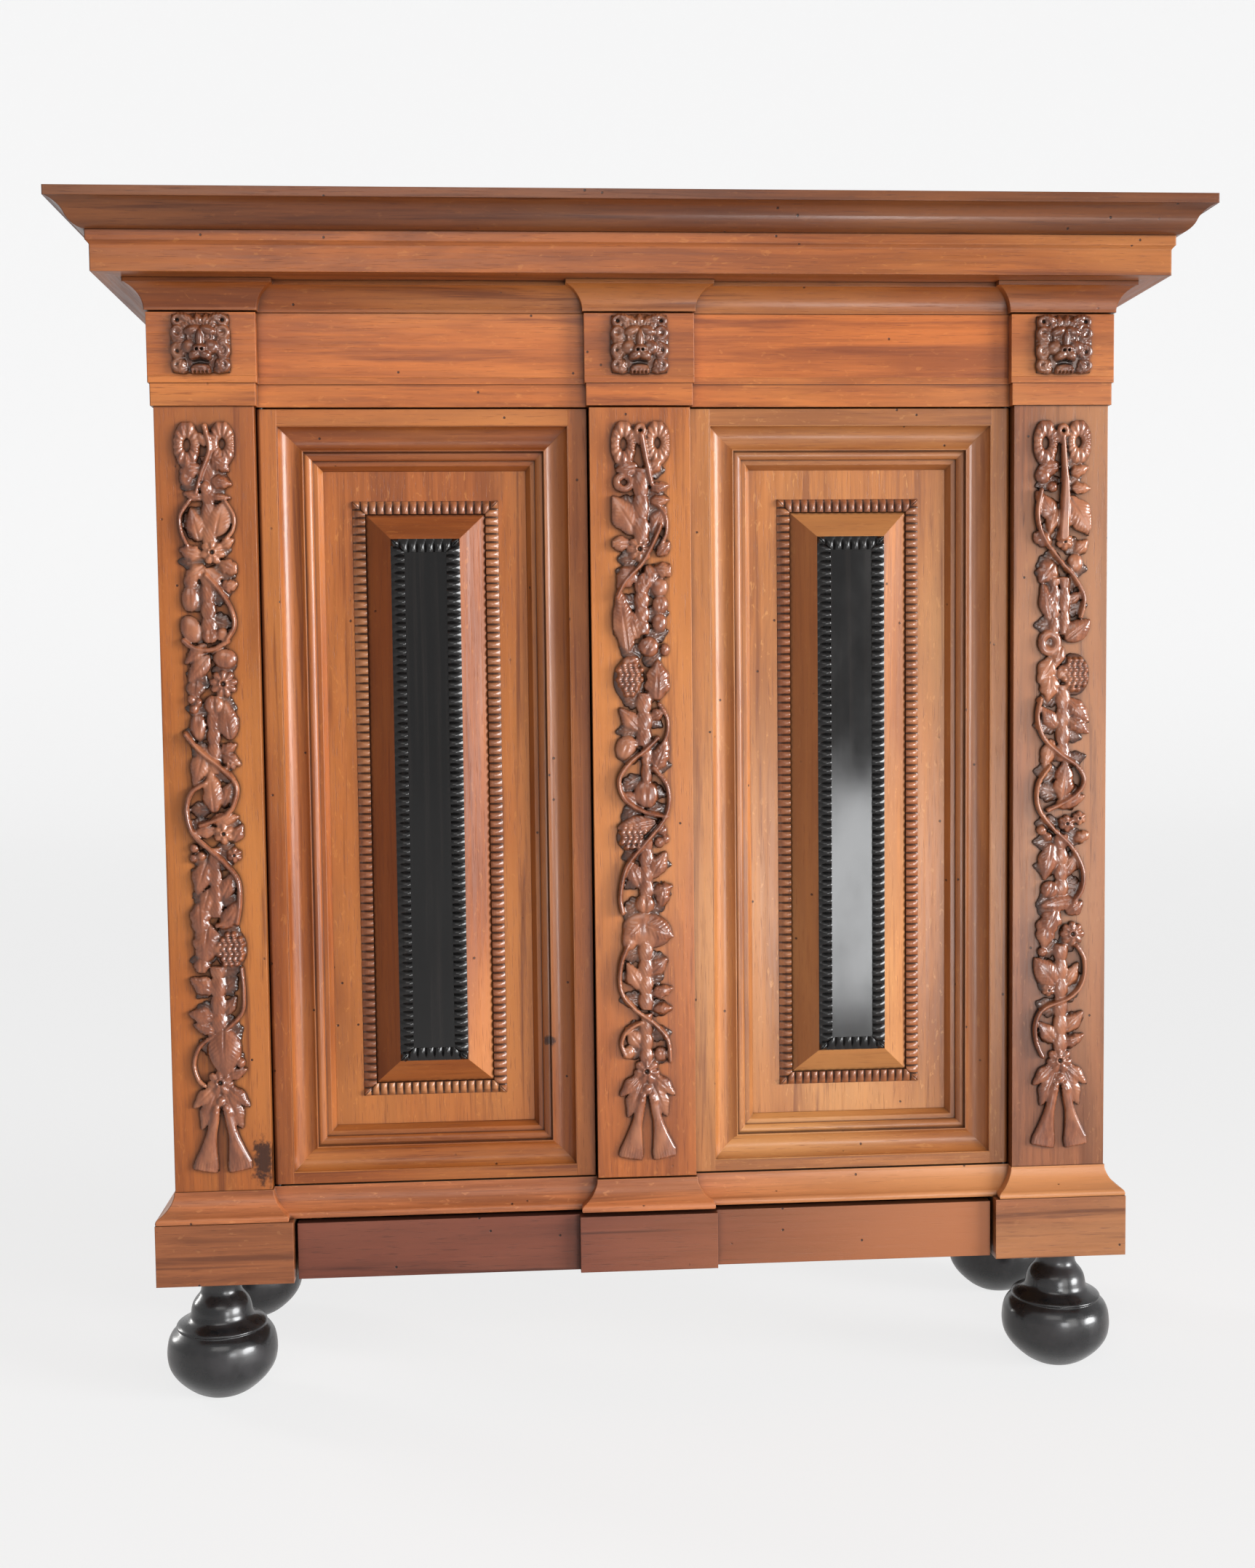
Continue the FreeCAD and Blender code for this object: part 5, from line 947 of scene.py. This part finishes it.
# ---- floor, light and camera
PALE_GREY = (0.871, 0.871, 0.871)
GLOSS_SHARE = 0.5    # how bright the pale grey is in reflections
STAGE_GLOW = 1.16    # strength of the stage's own light, for the camera and gloss alone
STAGE_SHARE = 0.76   # how much of it replaces the lit surface
WORLD_LIGHT = 0.14   # strength of the world's light on the cupboard
# The sheet's half width, front and back edge, height and bend, in metres
STAGE_HALF, STAGE_NEAR, STAGE_DEPTH, STAGE_RISE, STAGE_BEND = 18.0, -16.0, 14.0, 9.0, 3.0
BEND_STEPS = 16


def stage_material():
    """Pale grey to the camera and to gloss, and an ordinary pale surface to the rest of the light."""
    mat = Nodes("pale_grey")
    mat.dress((*PALE_GREY, 1), 0.9, (0, 0, 0), level=0.0)
    glow = mat.add("Emission", {"Color": (*PALE_GREY, 1), "Strength": STAGE_GLOW}).outputs[0]
    path = mat.add("LightPath").outputs
    seen = mat.math("MAXIMUM", path["Is Camera Ray"], mat.times(path["Is Glossy Ray"], GLOSS_SHARE))
    share = mat.times(seen, STAGE_SHARE)
    both = mat.add("MixShader", {0: share, 1: mat.shader.outputs[0], 2: glow}).outputs[0]
    mat.put(both, mat.tree.nodes["Material Output"].inputs["Surface"])
    return mat.owner


def make_stage():
    """One sheet: a floor that curves up into a backdrop."""
    foot = STAGE_DEPTH - STAGE_BEND
    outline = [(STAGE_NEAR, 0.0), (foot, 0.0)]
    for step in range(1, BEND_STEPS + 1):
        turn = math.pi / 2 * step / BEND_STEPS
        outline.append((foot + STAGE_BEND * math.sin(turn), STAGE_BEND - STAGE_BEND * math.cos(turn)))
    outline.append((STAGE_DEPTH, STAGE_RISE))
    points = [(x, y, z) for y, z in outline for x in (-STAGE_HALF, STAGE_HALF)]
    faces = [(2 * i, 2 * i + 1, 2 * i + 3, 2 * i + 2) for i in range(len(outline) - 1)]
    new_object("floor_and_backdrop", points, faces, stage_material())


def place_light(data, strength, colour, direction):
    """Puts a light in the scene; the direction points from the object towards it."""
    data.energy = strength
    data.color = colour
    item = bpy.data.objects.new(data.name, data)
    item.rotation_euler = (-Vector(direction)).to_track_quat("-Z", "Y").to_euler()
    bpy.context.scene.collection.objects.link(item)
    return item


def sun(name, direction, strength, width, colour):
    """Even light from far away; the width is in degrees."""
    data = bpy.data.lights.new(name, "SUN")
    data.angle = math.radians(width)
    place_light(data, strength, colour, direction)


def lamp(name, place, target, size, power, colour):
    data = bpy.data.lights.new(name, "AREA")
    data.shape = "RECTANGLE"
    data.size, data.size_y = size
    item = place_light(data, power, colour, Vector(place) - Vector(target))
    item.location = place
    item.visible_camera = False


def make_light():
    sun("window_right", (9.0, -4.6, 1.2), 3.7, 27, (0.98, 0.99, 1.0))
    lamp("window_low", (0.98, -3.4, 0.52), (0.35, -0.3, 0.75), (0.8, 0.8), 22, (0.97, 0.985, 1.0))
    lamp("softbox_right", (2.1, -3.7, 1.25), (0.5, -0.3, 1.15), (1.5, 2.4), 30, (1.0, 0.99, 0.97))
    sun("behind_left", (-9.0, 7.8, 3.4), 2.0, 25, (1.0, 0.99, 0.97))
    lamp("ceiling", (-0.6, -3.6, 3.2), (-0.4, 0, 1.4), (2.6, 1.6), 26, (1.0, 0.98, 0.95))


def make_world():
    """Pale grey to the camera and through glass, fainter in gloss, and dim to the rest of the light."""
    mat = Nodes("studio", "worlds", "Background")
    path = mat.add("LightPath").outputs
    shown = mat.plus(mat.math("MAXIMUM", path["Is Camera Ray"], path["Is Transmission Ray"]),
                       mat.times(path["Is Glossy Ray"], GLOSS_SHARE))
    level = mat.add("MapRange", {"Value": shown, "To Min": WORLD_LIGHT}).outputs["Result"]
    mat.put(level, mat.shader.inputs["Strength"])
    mat.put((*PALE_GREY, 1), mat.shader.inputs["Color"])
    bpy.context.scene.world = mat.owner


# The photograph's viewpoint, fitted to the corners of the cupboard as a plain pinhole: metres,
# degrees and pixels
CAMERA_PLACE = (-0.2593, -3.5487, 1.3841)
CAMERA_YAW, CAMERA_PITCH, CAMERA_ROLL = 3.96, 3.757, -0.636
FOCAL_PIXELS, PHOTO_WIDTH = 2442.0, 1725
SENSOR_WIDTH = 36.0
CLIP_END = 60


def make_camera():
    yaw, pitch, roll = (math.radians(a) for a in (CAMERA_YAW, CAMERA_PITCH, CAMERA_ROLL))
    ahead = Vector((math.sin(yaw) * math.cos(pitch), math.cos(yaw) * math.cos(pitch), -math.sin(pitch)))
    right = Vector((math.cos(yaw), -math.sin(yaw), 0))
    up = right.cross(ahead)
    right, up = math.cos(roll) * right + math.sin(roll) * up, math.cos(roll) * up - math.sin(roll) * right
    data = bpy.data.cameras.new("camera")
    data.sensor_fit = "HORIZONTAL"
    data.sensor_width = SENSOR_WIDTH
    data.lens = FOCAL_PIXELS / PHOTO_WIDTH * SENSOR_WIDTH
    data.clip_end = CLIP_END
    item = bpy.data.objects.new("camera", data)
    turn = Matrix((right, up, -ahead)).transposed().to_4x4()
    item.matrix_world = Matrix.Translation(Vector(CAMERA_PLACE)) @ turn
    bpy.context.scene.collection.objects.link(item)
    bpy.context.scene.camera = item


make_stage()
make_light()
make_world()
make_camera()
bpy.context.scene.view_settings.view_transform = "Standard"
